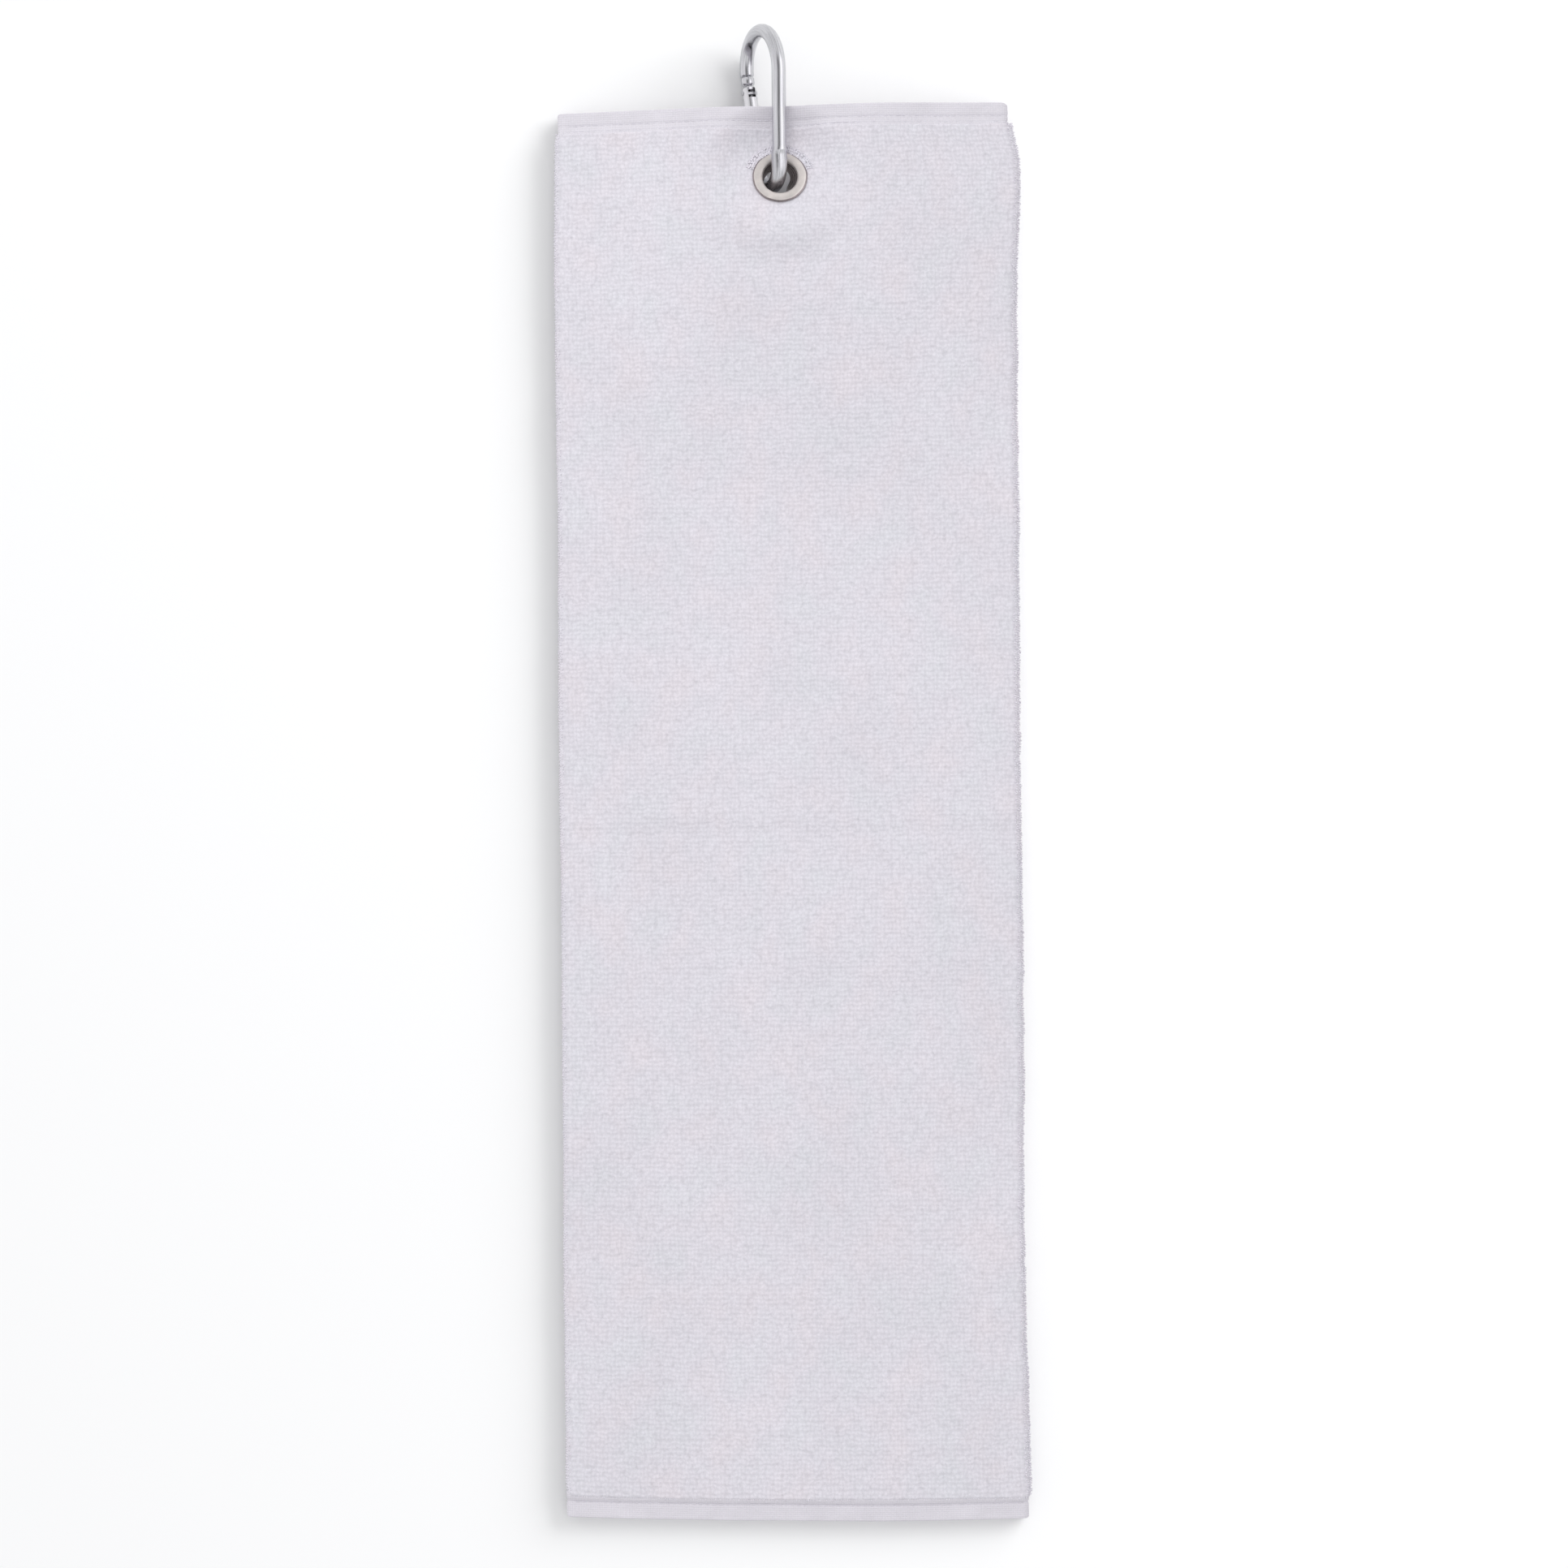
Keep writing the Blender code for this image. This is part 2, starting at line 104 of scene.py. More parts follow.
def noise(x, y, cell_x, cell_y, seed):
    """Smooth noise from -1 to 1, one lump to a cell."""
    lattice = np.random.default_rng(seed).uniform(-1, 1, (128, 128))
    u, v = np.asarray(x) / cell_x + 60, np.asarray(y) / cell_y + 60
    i, j = np.floor(u).astype(int), np.floor(v).astype(int)
    fu, fv = smooth(u - i), smooth(v - j)

    def at(a, b):
        return lattice[a % 128, b % 128]

    low = at(i, j) * (1 - fu) + at(i + 1, j) * fu
    high = at(i, j + 1) * (1 - fu) + at(i + 1, j + 1) * fu
    return low * (1 - fv) + high * fv


def new_object(name, data, *materials):
    obj = bpy.data.objects.new(name, data)
    for material in materials:
        data.materials.append(material)
    bpy.context.scene.collection.objects.link(obj)
    return obj


def helper_object(name, bm):
    """What a bmesh holds, as an object to cut with."""
    mesh = bpy.data.meshes.new(name)
    bm.to_mesh(mesh)
    bm.free()
    return new_object(name, mesh)


def mesh_from(name, points, faces):
    """A closed, smooth-shaded mesh with its faces turned outwards."""
    points = np.asarray(points, float)
    mesh = bpy.data.meshes.new(name)
    mesh.from_pydata(points.tolist(), [], faces)
    mesh.update()
    bm = bmesh.new()
    bm.from_mesh(mesh)
    if bm.calc_volume(signed=True) < 0:
        bmesh.ops.reverse_faces(bm, faces=bm.faces)
    bm.to_mesh(mesh)
    bm.free()
    mesh.shade_smooth()
    return mesh


def point_attribute(mesh, name, values):
    attribute = mesh.attributes.new(name, "FLOAT_VECTOR", "POINT")
    attribute.data.foreach_set("vector", np.asarray(values, np.float32).ravel())


def vectors(mesh, name):
    attribute = mesh.attributes[name]
    values = np.zeros(len(attribute.data) * 3, np.float32)
    attribute.data.foreach_get("vector", values)
    return values.reshape(-1, 3)


def tube_faces(start, rings, sides):
    """The walls and the two caps of a tube whose rings of points begin at start."""
    faces = []
    for r in range(rings - 1):
        for k in range(sides):
            a, b = start + r * sides + k, start + r * sides + (k + 1) % sides
            faces.append((a, b, b + sides, a + sides))
    faces.append(tuple(start + k for k in reversed(range(sides))))
    faces.append(tuple(start + (rings - 1) * sides + k for k in range(sides)))
    return faces


def slab(name, upper, lower, marks, *materials):
    """A closed sheet between two grids of points of the same shape. marks is a vector for
    each point of a grid, kept as the attribute that the cloth's materials read."""
    rows, columns = upper.shape[:2]
    count = rows * columns
    index = np.arange(count).reshape(rows, columns)
    a, b, c, d = index[:-1, :-1], index[:-1, 1:], index[1:, 1:], index[1:, :-1]
    top = np.stack([a, b, c, d], -1).reshape(-1, 4)
    bottom = np.stack([a, d, c, b], -1).reshape(-1, 4) + count
    loop = np.concatenate([index[0, :], index[1:, -1], index[-1, -2::-1], index[-2:0:-1, 0]])
    after = np.roll(loop, -1)
    side = np.stack([loop, loop + count, after + count, after], -1)
    faces = np.concatenate([top, bottom, side]).tolist()
    points = np.concatenate([upper.reshape(-1, 3), lower.reshape(-1, 3)])
    mesh = mesh_from(name, points, faces)
    lower_marks = marks.copy()
    lower_marks[..., 2] = 1
    both = np.concatenate([marks.reshape(-1, 3), lower_marks.reshape(-1, 3)])
    point_attribute(mesh, "weave", both)
    return new_object(name, mesh, *materials)


def cut(obj, helpers):
    """Takes the helpers out of the object's mesh, and uses them up."""
    for helper in helpers:
        modifier = obj.modifiers.new(helper.name, "BOOLEAN")
        modifier.operation = "DIFFERENCE"
        modifier.object = helper
        modifier.solver = "EXACT"
    bpy.context.view_layer.update()
    graph = bpy.context.evaluated_depsgraph_get()
    mesh = bpy.data.meshes.new_from_object(obj.evaluated_get(graph))
    obj.modifiers.clear()
    mesh.name = obj.name
    obj.data = mesh
    for helper in helpers:
        bpy.data.objects.remove(helper, do_unlink=True)


# --- Materials --------------------------------------------------------------------------


class Nodes:
    """A material, or the world, and short names for what its nodes are built from."""

    def __init__(self, owner):
        owner.use_nodes = True
        self.owner, self.tree = owner, owner.node_tree
        self.shader = self.tree.nodes.get("Principled BSDF")

    def node(self, kind, **values):
        made = self.tree.nodes.new(kind)
        for key, value in values.items():
            setattr(made, key, value)
        return made

    def put(self, socket, value):
        """Another node's output, or a number or colour that is the same all over."""
        if isinstance(value, bpy.types.NodeSocket):
            self.tree.links.new(value, socket)
        else:
            socket.default_value = value

    def fill(self, node, **values):
        for key, value in values.items():
            self.put(node.inputs[key.replace("_", " ")], value)

    def set(self, **values):
        self.fill(self.shader, **values)

    def math(self, operation, first, second=0.0):
        made = self.node("ShaderNodeMath", operation=operation)
        self.put(made.inputs[0], first)
        self.put(made.inputs[1], second)
        return made.outputs[0]

    def product(self, *factors):
        result = factors[0]
        for factor in factors[1:]:
            result = self.math("MULTIPLY", result, factor)
        return result

    def grey(self, level):
        made = self.node("ShaderNodeCombineColor")
        for socket in made.inputs[:3]:
            self.put(socket, level)
        return made.outputs[0]

    def axes(self, vector):
        made = self.node("ShaderNodeSeparateXYZ")
        self.put(made.inputs[0], vector)
        return made.outputs

    def scaled(self, vector, scale):
        made = self.node("ShaderNodeVectorMath", operation="MULTIPLY")
        self.put(made.inputs[0], vector)
        self.put(made.inputs[1], scale)
        return made.outputs[0]

    def noise(self, vector, scale, detail, rough=0.5, color=False):
        """Noise with as many lumps to the metre along each axis as scale says."""
        made = self.node("ShaderNodeTexNoise")
        place = self.scaled(vector, scale)
        self.fill(made, Vector=place, Scale=1.0, Detail=detail, Roughness=rough)
        return made.outputs["Color" if color else "Fac"]

    def ramp(self, value, stops, curve="LINEAR"):
        made = self.node("ShaderNodeValToRGB")
        made.color_ramp.interpolation = curve
        self.fill(made, Fac=value)
        elements = made.color_ramp.elements
        while len(elements) < len(stops):
            elements.new(0.5)
        for element, (place, color) in zip(elements, stops):
            element.position = place
            element.color = (*color, 1)
        return made.outputs["Color"]

    def remap(self, value, low, high, to_low, to_high):
        made = self.node("ShaderNodeMapRange")
        self.fill(made, Value=value, From_Min=low, From_Max=high, To_Min=to_low, To_Max=to_high)
        return made.outputs["Result"]

    def mix(self, factor, first, second, blend="MIX"):
        made = self.node("ShaderNodeMix", data_type="RGBA", blend_type=blend)
        self.put(made.inputs[0], factor)
        for i, color in ((6, first), (7, second)):
            self.put(made.inputs[i], (*color, 1) if isinstance(color, tuple) else color)
        return made.outputs[2]

    def bump(self, height, distance, strength, under=None):
        made = self.node("ShaderNodeBump")
        self.fill(made, Height=height, Distance=distance, Strength=strength)
        if under is not None:
            self.fill(made, Normal=under)
        return made.outputs["Normal"]

    def attribute(self, name):
        return self.node("ShaderNodeAttribute", attribute_name=name).outputs["Vector"]


def terry_material(name, lighter=1.0):
    """Short sheared loops: rows and columns of tufts, each a little lighter or darker."""
    n = Nodes(bpy.data.materials.new(name))
    weave = n.attribute("weave")
    cells = n.scaled(weave, (1 / COLUMN, 1 / ROW, 0.0))
    wander = n.noise(weave, (260.0, 260.0, 0.0), 2.0, 0.6, color=True)
    shift = n.node("ShaderNodeVectorMath", operation="MULTIPLY_ADD")
    for socket, value in zip(shift.inputs, (wander, (1.5, 1.5, 0.0), cells)):
        n.put(socket, value)
    shifted = shift.outputs[0]
    tuft = n.node("ShaderNodeTexVoronoi", feature="SMOOTH_F1", voronoi_dimensions="2D")
    n.fill(tuft, Vector=shifted, Scale=1.0, Randomness=0.65, Smoothness=0.5)
    knot = n.remap(tuft.outputs["Distance"], 0.0, 0.75, 1.0, 0.0)
    x, y, _ = n.axes(shifted)
    row, column = (n.math("SINE", n.product(place, 2 * pi)) for place in (y, x))
    grid = n.math("ADD", n.product(row, 0.13), n.product(column, 0.06))
    crown = n.math("ADD", n.product(knot, 0.8), grid)
    fibre = n.noise(weave, (2300.0, 1500.0, 900.0), 3.0, 0.65)
    clump = n.noise(weave, (330.0, 210.0, 0.0), 3.0, 0.6)
    patch = n.noise(weave, (24.0, 17.0, 0.0), 3.0, 0.55)
    tint = n.noise(weave, (62.0, 45.0, 3.0), 2.0)

    lint = n.node("ShaderNodeTexVoronoi", feature="F1", voronoi_dimensions="2D")
    n.fill(lint, Vector=n.scaled(weave, (210.0, 190.0, 0.0)), Scale=1.0)
    speck = n.remap(lint.outputs["Distance"], 0.05, 0.16, 0.945, 1.0)
    shade = n.product(
        n.remap(crown, 0.0, 1.0, 0.89, 1.05),
        n.remap(fibre, 0.3, 0.7, 0.93, 1.06),
        n.remap(clump, 0.3, 0.7, 0.96, 1.04),
        n.remap(patch, 0.3, 0.7, 0.98, 1.02),
        speck,
    )
    hues = [(0.695, 0.686, 0.734), (0.706, 0.681, 0.735), (0.721, 0.681, 0.729)]
    # A lighter above 1 makes a lighter copy of the terry: painted light
    hues = [tuple(lighter * channel for channel in hue) for hue in hues]
    hue = n.ramp(tint, list(zip((0.30, 0.50, 0.70), hues)))
    n.set(Roughness=0.96, Specular_IOR_Level=0.12, Sheen_Weight=0.12, Sheen_Roughness=0.5)
    first = n.bump(crown, 0.00030, 0.55)
    second = n.bump(clump, 0.00035, 0.5, first)
    n.set(Normal=n.bump(fibre, 0.00016, 0.5, second))
    n.set(Base_Color=n.mix(1.0, hue, n.grey(shade), "MULTIPLY"))
    return n.owner


def weave_material():
    """Flat cotton weave of the hems: fine ribs along the hem, crossed by threads."""
    n = Nodes(bpy.data.materials.new("hem_weave"))
    weave = n.attribute("weave")

    def wave(direction, stretch, scale, distortion):
        made = n.node("ShaderNodeTexWave", wave_type="BANDS", bands_direction=direction)
        place = n.scaled(weave, stretch)
        n.fill(made, Vector=place, Scale=scale, Distortion=distortion, Detail=1.5)
        return made.outputs["Fac"]

    ribs = wave("Y", (90.0, 1000.0, 0.0), 0.42, 0.8)
    threads = wave("X", (1000.0, 120.0, 0.0), 0.50, 1.4)
    fibre = n.noise(weave, (1500.0, 2100.0, 900.0), 3.0, 0.6)
    patch = n.noise(weave, (90.0, 150.0, 0.0), 3.0, 0.55)
    height = n.math("ADD", n.product(ribs, 0.6), n.product(threads, 0.4))
    shade = n.product(
        n.remap(height, 0.1, 0.9, 0.92, 1.03),
        n.remap(fibre, 0.3, 0.7, 0.93, 1.05),
        n.remap(patch, 0.3, 0.7, 0.96, 1.04),
    )
    n.set(Base_Color=n.mix(1.0, (0.682, 0.657, 0.706), n.grey(shade), "MULTIPLY"))
    n.set(Roughness=0.9, Specular_IOR_Level=0.15, Sheen_Weight=0.12, Sheen_Roughness=0.5)
    first = n.bump(height, 0.00012, 0.6)
    n.set(Normal=n.bump(fibre, 0.00010, 0.5, first))
    return n.owner


def thread_material():
    """Twisted sewing cotton."""
    n = Nodes(bpy.data.materials.new("thread"))
    place = n.node("ShaderNodeTexCoord").outputs["Object"]
    twist = n.noise(place, (2600.0, 1600.0, 2600.0), 2.0)
    tone = n.ramp(twist, [(0.3, (0.60, 0.58, 0.63)), (0.7, (0.70, 0.68, 0.73))])
    bump = n.bump(twist, 0.00006, 0.6)
    n.set(Base_Color=tone, Roughness=0.8, Sheen_Weight=0.2, Normal=bump)
    return n.owner


def metal_material(name, color, rough, streak, scuff=0.5, wire=False):
    """Bare or plated metal: fine draw marks one way, dull scuffs and small pits. Wire has
    its marks along its length, and its scuffs where its "worn" attribute puts them."""
    n = Nodes(bpy.data.materials.new(name))
    if wire:
        place = n.attribute("along")
        patch, shallow = (3.6, 5.0, 3.6), 0.36
    else:
        place = n.node("ShaderNodeTexCoord").outputs["Object"]
        patch, shallow = tuple(s * 0.35 + 60 for s in streak), 1.0
    streaks = n.noise(place, streak, 4.0, 0.6)
    wear = n.noise(place, patch, 5.0, 0.65)
    if wire:
        dull = n.product(n.remap(wear, 0.35, 0.6, 0.0, 1.0), n.axes(n.attribute("worn"))[0])
    else:
        dull = n.remap(wear, 0.35, 0.7, 0.0, 1.0)
    tone = n.mix(n.product(dull, scuff), color, tuple(c * 0.80 for c in color))
    lines = n.grey(n.remap(streaks, 0.3, 0.7, 1.0 - 0.22 * scuff, 1.0 + 0.16 * scuff))
    polish = n.remap(streaks, 0.3, 0.7, rough * 0.8, rough * 1.25)
    rougher = n.math("ADD", polish, n.product(dull, 0.14 * scuff))
    first = n.bump(streaks, 0.00004 * shallow, 0.5)
    dents = n.bump(dull if wire else wear, 0.00016 * shallow, 0.5 * scuff + 0.1, first)
    base = n.mix(1.0, tone, lines, "MULTIPLY")
    n.set(Base_Color=base, Metallic=1.0, Roughness=rougher, Normal=dents)
    return n.owner


TERRY = terry_material("terry")
# A lighter copy of the terry for the loops along the folds, ends and flange: painted light, so these
# loops don't show as dark as their own shade makes them
PAINTED_LIGHT_PILE = terry_material("terry_painted_light", 1.12)
WEAVE = weave_material()
THREAD = thread_material()
NICKEL = metal_material("nickel", (0.85, 0.800, 0.770), 0.50, (240.0,) * 3)
# A dark nickel that paints shade: the shadow under the eyelet's lip and in its barrel's grooves
NICKEL_PAINTED_SHADE = metal_material("nickel_painted_shade", (0.34, 0.295, 0.30), 0.26, (900.0,) * 3, 1.0)
WIRE = metal_material("aluminium_wire", (0.64, 0.64, 0.665), 0.17, (10.0, 6.0, 10.0), 1.0, wire=True)
TUBE = metal_material("aluminium_tube", (0.76, 0.755, 0.78), 0.15, (40.0, 900.0, 900.0))
STEEL = metal_material("steel", (0.66, 0.66, 0.68), 0.28, (500.0,) * 3)


# --- The cloth's shape ------------------------------------------------------------------


def eyelet_nearness(x, y):
    """1 where the eyelet clamps the stack, falling to 0 where the cloth lies freely."""
    r = np.hypot(x - EYELET.x, y - EYELET.y)
    return 1 - smooth((r - PLANE_R) / PLANE_BLEND)


def underside(x, y):
    """Height of the stack's lower face. It arches over the carabiner, level across
    HUMP_TOP and then down over HUMP_SIDE to the table, with its slope eased in."""
    base = EYELET.z - (3 * PINCHED + 2 * GAP) / 2
    out = np.clip((np.abs(x) - HUMP_TOP) / HUMP_SIDE, 0, 1)
    eased = 0.36
    fall = np.where(out < eased, out * out / (2 * eased), out - eased / 2)
    across = 1 - 1.22 * fall
    along = 1 - smooth((EYELET.y - 0.012 - y) / HUMP_RUN)
    edge = 1 + EDGE_LIFT * smooth((y - EYELET.y) / 0.026)
    broad = base * across * along * edge
    tilted = base - tan(TILT) * (y - EYELET.y)
    return broad + (tilted - broad) * eyelet_nearness(x, y)


def insets(y):
    """How far the pile's outline lies inside the folded width, left and right."""
    from_top = TOP_Y - HEM_DEPTH - y
    from_bottom = y - BOTTOM_Y - HEM_DEPTH
    left = 0.0005 * (1 - smooth(from_top / 0.003)) + 0.0004 * (1 - smooth(from_bottom / 0.006))
    left = left + 0.00035 * noise(0, y, 1, 0.045, 11) + 0.00012 * noise(0, y, 1, 0.008, 12)
    right = 0.0026 * (1 - smooth(from_top / 0.016)) ** 1.5
    right = right + 0.0002 * (1 - smooth(from_bottom / 0.004))
    right = right + 0.0019 * smooth((0.215 - y) / 0.05) * (1 - 0.65 * smooth((-0.20 - y) / 0.045))
    right = right + 0.00040 * noise(0, y, 1, 0.050, 13) + 0.00022 * noise(0, y, 1, 0.006, 14)
    return left + 0.0007, right + 0.0003


def skew(u, y):
    """The cloth isn't cut quite square: its ends lean, and bow outwards a little."""
    top = -0.00102 + 0.00134 * u + 0.00150 * u * u
    bottom = 0.00087 + 0.00107 * u - 0.00116 * u * u
    return top * smooth((y - 0.02) / 0.217) - bottom * smooth((-0.05 - y) / 0.216)


def relief(x, y):
    """Unevenness of the pile's face: lumps, the ironed crease, puckers round the eyelet,
    a pull beside it, the wire's print and a shallow dent near the bottom."""
    lumps = 0.00022 * noise(x, y, 0.019, 0.013, 3) + 0.00012 * noise(x, y, 0.0075, 0.006, 4)
    pile = 0.00006 * noise(x, y, 0.0031, 0.0027, 5)
    fold = -0.00038 * np.exp(-(((y - FOLD_Y - 0.0003 * noise(x, 0, 0.02, 1, 6)) / 0.0016) ** 2))
    ridge = 0.00030 * np.exp(-(((y - FOLD_Y - 0.0065) / 0.0035) ** 2))
    r = np.hypot(x - EYELET.x, y - EYELET.y)
    turn = np.arctan2(y - EYELET.y, x - EYELET.x)
    band = smooth((r - 0.0105) / 0.004) * (1 - smooth((r - 0.014) / 0.022))
    puckers = 0.00013 * band * np.sin(7 * turn + 2.2 * np.sin(2 * turn) + 0.6)
    lean = x + 0.026 - 0.8 * (y - 0.187)
    drag = -0.0005 * np.exp(-((lean / 0.011) ** 2 + ((y - 0.187) / 0.007) ** 2))
    under_wire = -0.0005 * np.exp(-(((x - EYELET.x - 0.001) / 0.0065) ** 2))
    under_wire = under_wire * smooth((y - 0.2155) / 0.006) * (1 - smooth((y - 0.229) / 0.006))
    dent = -0.0005 * np.exp(-(((x - 0.0075) / 0.016) ** 2 + ((y + 0.214) / 0.012) ** 2))
    return lumps + pile + fold + ridge + puckers + drag + under_wire + dent


def place(x, y, flat_z, inset_left, inset_right):
    """A point of the flat, folded stack, moved to where it really lies."""
    x = x * (1 - np.where(x < 0, inset_left, inset_right) / HALF)
    near = eyelet_nearness(x, y)
    pinch = (3 * (LAYER + (PINCHED - LAYER) * near) + 2 * GAP) / STACK
    depth = flat_z / STACK
    quiet = 1 - smooth((near - 0.85) / 0.15)
    z = flat_z * pinch + underside(x, y) + relief(x, y) * depth * quiet
    return np.stack([x, y + skew(x / HALF, y), z], -1)


def cross_section(
    layer_pitch, thick, left_edge, right_edge, inner_free, back_free, fine, coarse
):
    """Stations along the cloth, from the inner flap's free edge round the left fold, over
    the front, round the right fold to the back flap's free edge. Each is x, height, the
    outward normal, half the thickness, and the distance along the cloth."""
    z = [i * layer_pitch + thick / 2 for i in range(3)]
    left_r, right_r = layer_pitch / 2, layer_pitch
    left_x, right_x = left_edge + left_r + thick / 2, right_edge - right_r - thick / 2
    rounding = [0.0, 0.00012, 0.0004, 0.0009]
    step = [SIDE_HEM - 0.0002, SIDE_HEM + 0.0002]
    stations = []

    def straight(x0, x1, height, normal, marks, pitch, width):
        inside = list(np.linspace(0, width, round(width / pitch) + 1))
        inside = [s for s in inside if all(abs(s - m) > pitch * 0.4 for m in marks)]
        for s in sorted(inside + marks):
            stations.append((x0 + (x1 - x0) * s / width, height, 0.0, normal))

    def turn(x, height, r, start, steps):
        for i in range(1, steps):
            t = radians(start - 180 * i / steps)
            stations.append((x + r * cos(t), height + r * sin(t), cos(t), sin(t)))

    width = inner_free - left_edge
    straight(inner_free, left_x, z[1], -1.0, rounding + step, coarse, width)
    turn(left_x, (z[1] + z[2]) / 2, left_r, -90, 8)
    straight(left_x, right_x, z[2], 1.0, [], fine, right_edge - left_edge)
    turn(right_x, (z[0] + z[2]) / 2, right_r, 90, 11)
    width = right_edge - back_free
    marks = [width - m for m in rounding + step]
    straight(right_x, back_free, z[0], -1.0, marks, coarse, width)

    table = np.array(stations)
    steps = np.hypot(np.diff(table[:, 0]), np.diff(table[:, 1]))
    along = np.concatenate([[0], np.cumsum(steps)])
    from_edge = np.minimum(along, along[-1] - along)
    hem_half = min(HEM, thick) / 2
    half = np.where(from_edge < SIDE_HEM, hem_half, thick / 2)
    short = np.clip(hem_half - from_edge, 0, hem_half)
    rounded = np.sqrt(np.maximum(hem_half**2 - short**2, 0)) + 0.00004
    half = np.where(from_edge < hem_half, rounded, half)
    return table, half, along


def stations_along(low, high, pitch, ends):
    """Stations with a few extra at each end, where the edge is rounded."""
    count = round((high - low) / pitch)
    inner = np.linspace(low + ends[-1] + pitch * 0.5, high - ends[-1] - pitch * 0.5, count)
    return np.concatenate([low + np.array(ends), inner, high - np.array(ends[::-1])])


def build_cloth():
    """The terry from one free edge to the other, as one closed sheet with the eyelet's
    hole cut through its three layers."""
    table, half, along = cross_section(
        LAYER + GAP, LAYER, -HALF, HALF, INNER_FREE, BACK_FREE, PITCH, COARSE
    )
    low, high = BOTTOM_Y + HEM_DEPTH, TOP_Y - HEM_DEPTH
    lip = 0.0010
    ys = stations_along(low, high, PITCH, [0.0, 0.0002, 0.0005, lip])
    y, x = np.meshgrid(ys, table[:, 0], indexing="ij")
    flat_z = np.broadcast_to(table[:, 1], y.shape)
    left, right = insets(y)
    from_end = np.minimum(y - low, high - y)
    close = np.clip(from_end / lip, 0, 1)
    rounded = 0.72 + 0.28 * np.sqrt(1 - (1 - close) ** 2)
    off = np.broadcast_to(half, y.shape) * rounded
    upper = place(x + table[:, 2] * off, y, flat_z + table[:, 3] * off, left, right)
    lower = place(x - table[:, 2] * off, y, flat_z - table[:, 3] * off, left, right)
    marks = np.stack([np.broadcast_to(along, y.shape), y, np.zeros_like(y)], -1)
    cloth = slab("terry_cloth", upper, lower, marks, TERRY, WEAVE)
    # The side hems are a flat weave, with no pile
    woven = (along[:-1] < SIDE_HEM - 0.0001) | (along[1:] > along[-1] - SIDE_HEM + 0.0001)
    grid = np.tile(woven, len(ys) - 1)
    edges = np.zeros(len(cloth.data.polygons) - 2 * grid.size, bool)
    kinds = np.concatenate([grid, grid, edges]).astype(np.int32)
    cloth.data.polygons.foreach_set("material_index", kinds)
    bm = bmesh.new()
    r = 0.0070
    bmesh.ops.create_cone(bm, cap_ends=True, segments=64, radius1=r, radius2=r, depth=0.03)
    hole = helper_object("hole", bm)
    hole.matrix_world = Matrix.Translation(EYELET) @ Matrix.Rotation(-TILT, 4, "X")
    points, weave = vectors(cloth.data, "position"), vectors(cloth.data, "weave")
    cut(cloth, [hole])
    # The cut loses the weave's places, so each point takes them back from its nearest
    tree = kdtree.KDTree(len(points))
    for i, point in enumerate(points):
        tree.insert(point, i)
    tree.balance()
    nearest = [tree.find(vertex.co)[1] for vertex in cloth.data.vertices]
    cloth.data.attributes["weave"].data.foreach_set("vector", weave[nearest].ravel())
    return cloth


def hem_sink(from_edge):
    """0 where an end hem meets the pile, and 1 where its layers lie closer together."""
    return smooth((HEM_DEPTH + 0.0004 - from_edge) / 0.0030)


def hem_wave(along):
    """How far an end hem strays outwards, along the cloth."""
    return 0.00018 * noise(along, 0, 0.017, 1, 22)


def build_hem(end):
    """The woven hem beyond the pile, folded with the rest of the cloth. It comes down from
    the height of the pile's layers to lie closer, and the stitching draws it in."""
    left, right = HEM_INSETS[end]
    inner = min(INNER_FREE, HALF - right - 0.0036)
    back = max(BACK_FREE, -HALF + left + 0.0012)
    spans = (-HALF + left, HALF - right, inner, back, 0.0012, 0.004)
    near, half, along = cross_section(LAYER + GAP, HEM, *spans)
    far, _, _ = cross_section(HEM + GAP, HEM, *spans)
    depth = HEM_DEPTH + 0.0016
    from_edge = np.append(depth * (1 - np.linspace(0, 1, 34)), 0.0)
    from_edge[-2] = 0.00018
    y = TOP_Y - from_edge if end == "top" else BOTTOM_Y + from_edge
    sink = hem_sink(from_edge)[:, None]
    x = near[:, 0] * (1 - sink) + far[:, 0] * sink
    flat_z = (near[:, 1] + HEM_LIFT) * (1 - sink) + far[:, 1] * sink
    nx = np.broadcast_to(near[:, 2], x.shape)
    nz = np.broadcast_to(near[:, 3], x.shape)
    fall = np.clip(from_edge / 0.0007, 0, 1)[:, None]
    thin = 0.45 + 0.55 * np.sqrt(1 - (1 - fall) ** 2)
    off = np.broadcast_to(half, x.shape) * thin
    groove = np.zeros_like(x)
    deep = 0.00022 if end == "top" else 0.00034
    for row in STITCH_ROWS[end]:
        groove = groove + deep * np.exp(-(((from_edge[:, None] - row) / 0.00040) ** 2))
    puff = 0.00012 * noise(along[None, :], from_edge[:, None], 0.0023, 0.004, 21)
    off = off - groove + puff * thin
    outward = 1 if end == "top" else -1
    ys = np.broadcast_to(y[:, None], x.shape) + outward * hem_wave(along[None, :])
    ys = ys - outward * corner_pull(end, x, from_edge[:, None])
    zero = np.zeros_like(x)
    upper = place(x + nx * off, ys, flat_z + nz * off, zero, zero)
    lower = place(x - nx * off, ys, flat_z - nz * off, zero, zero)
    marks = np.stack([np.broadcast_to(along, x.shape), ys, zero], -1)
    return slab(f"{end}_hem", upper, lower, marks, WEAVE)


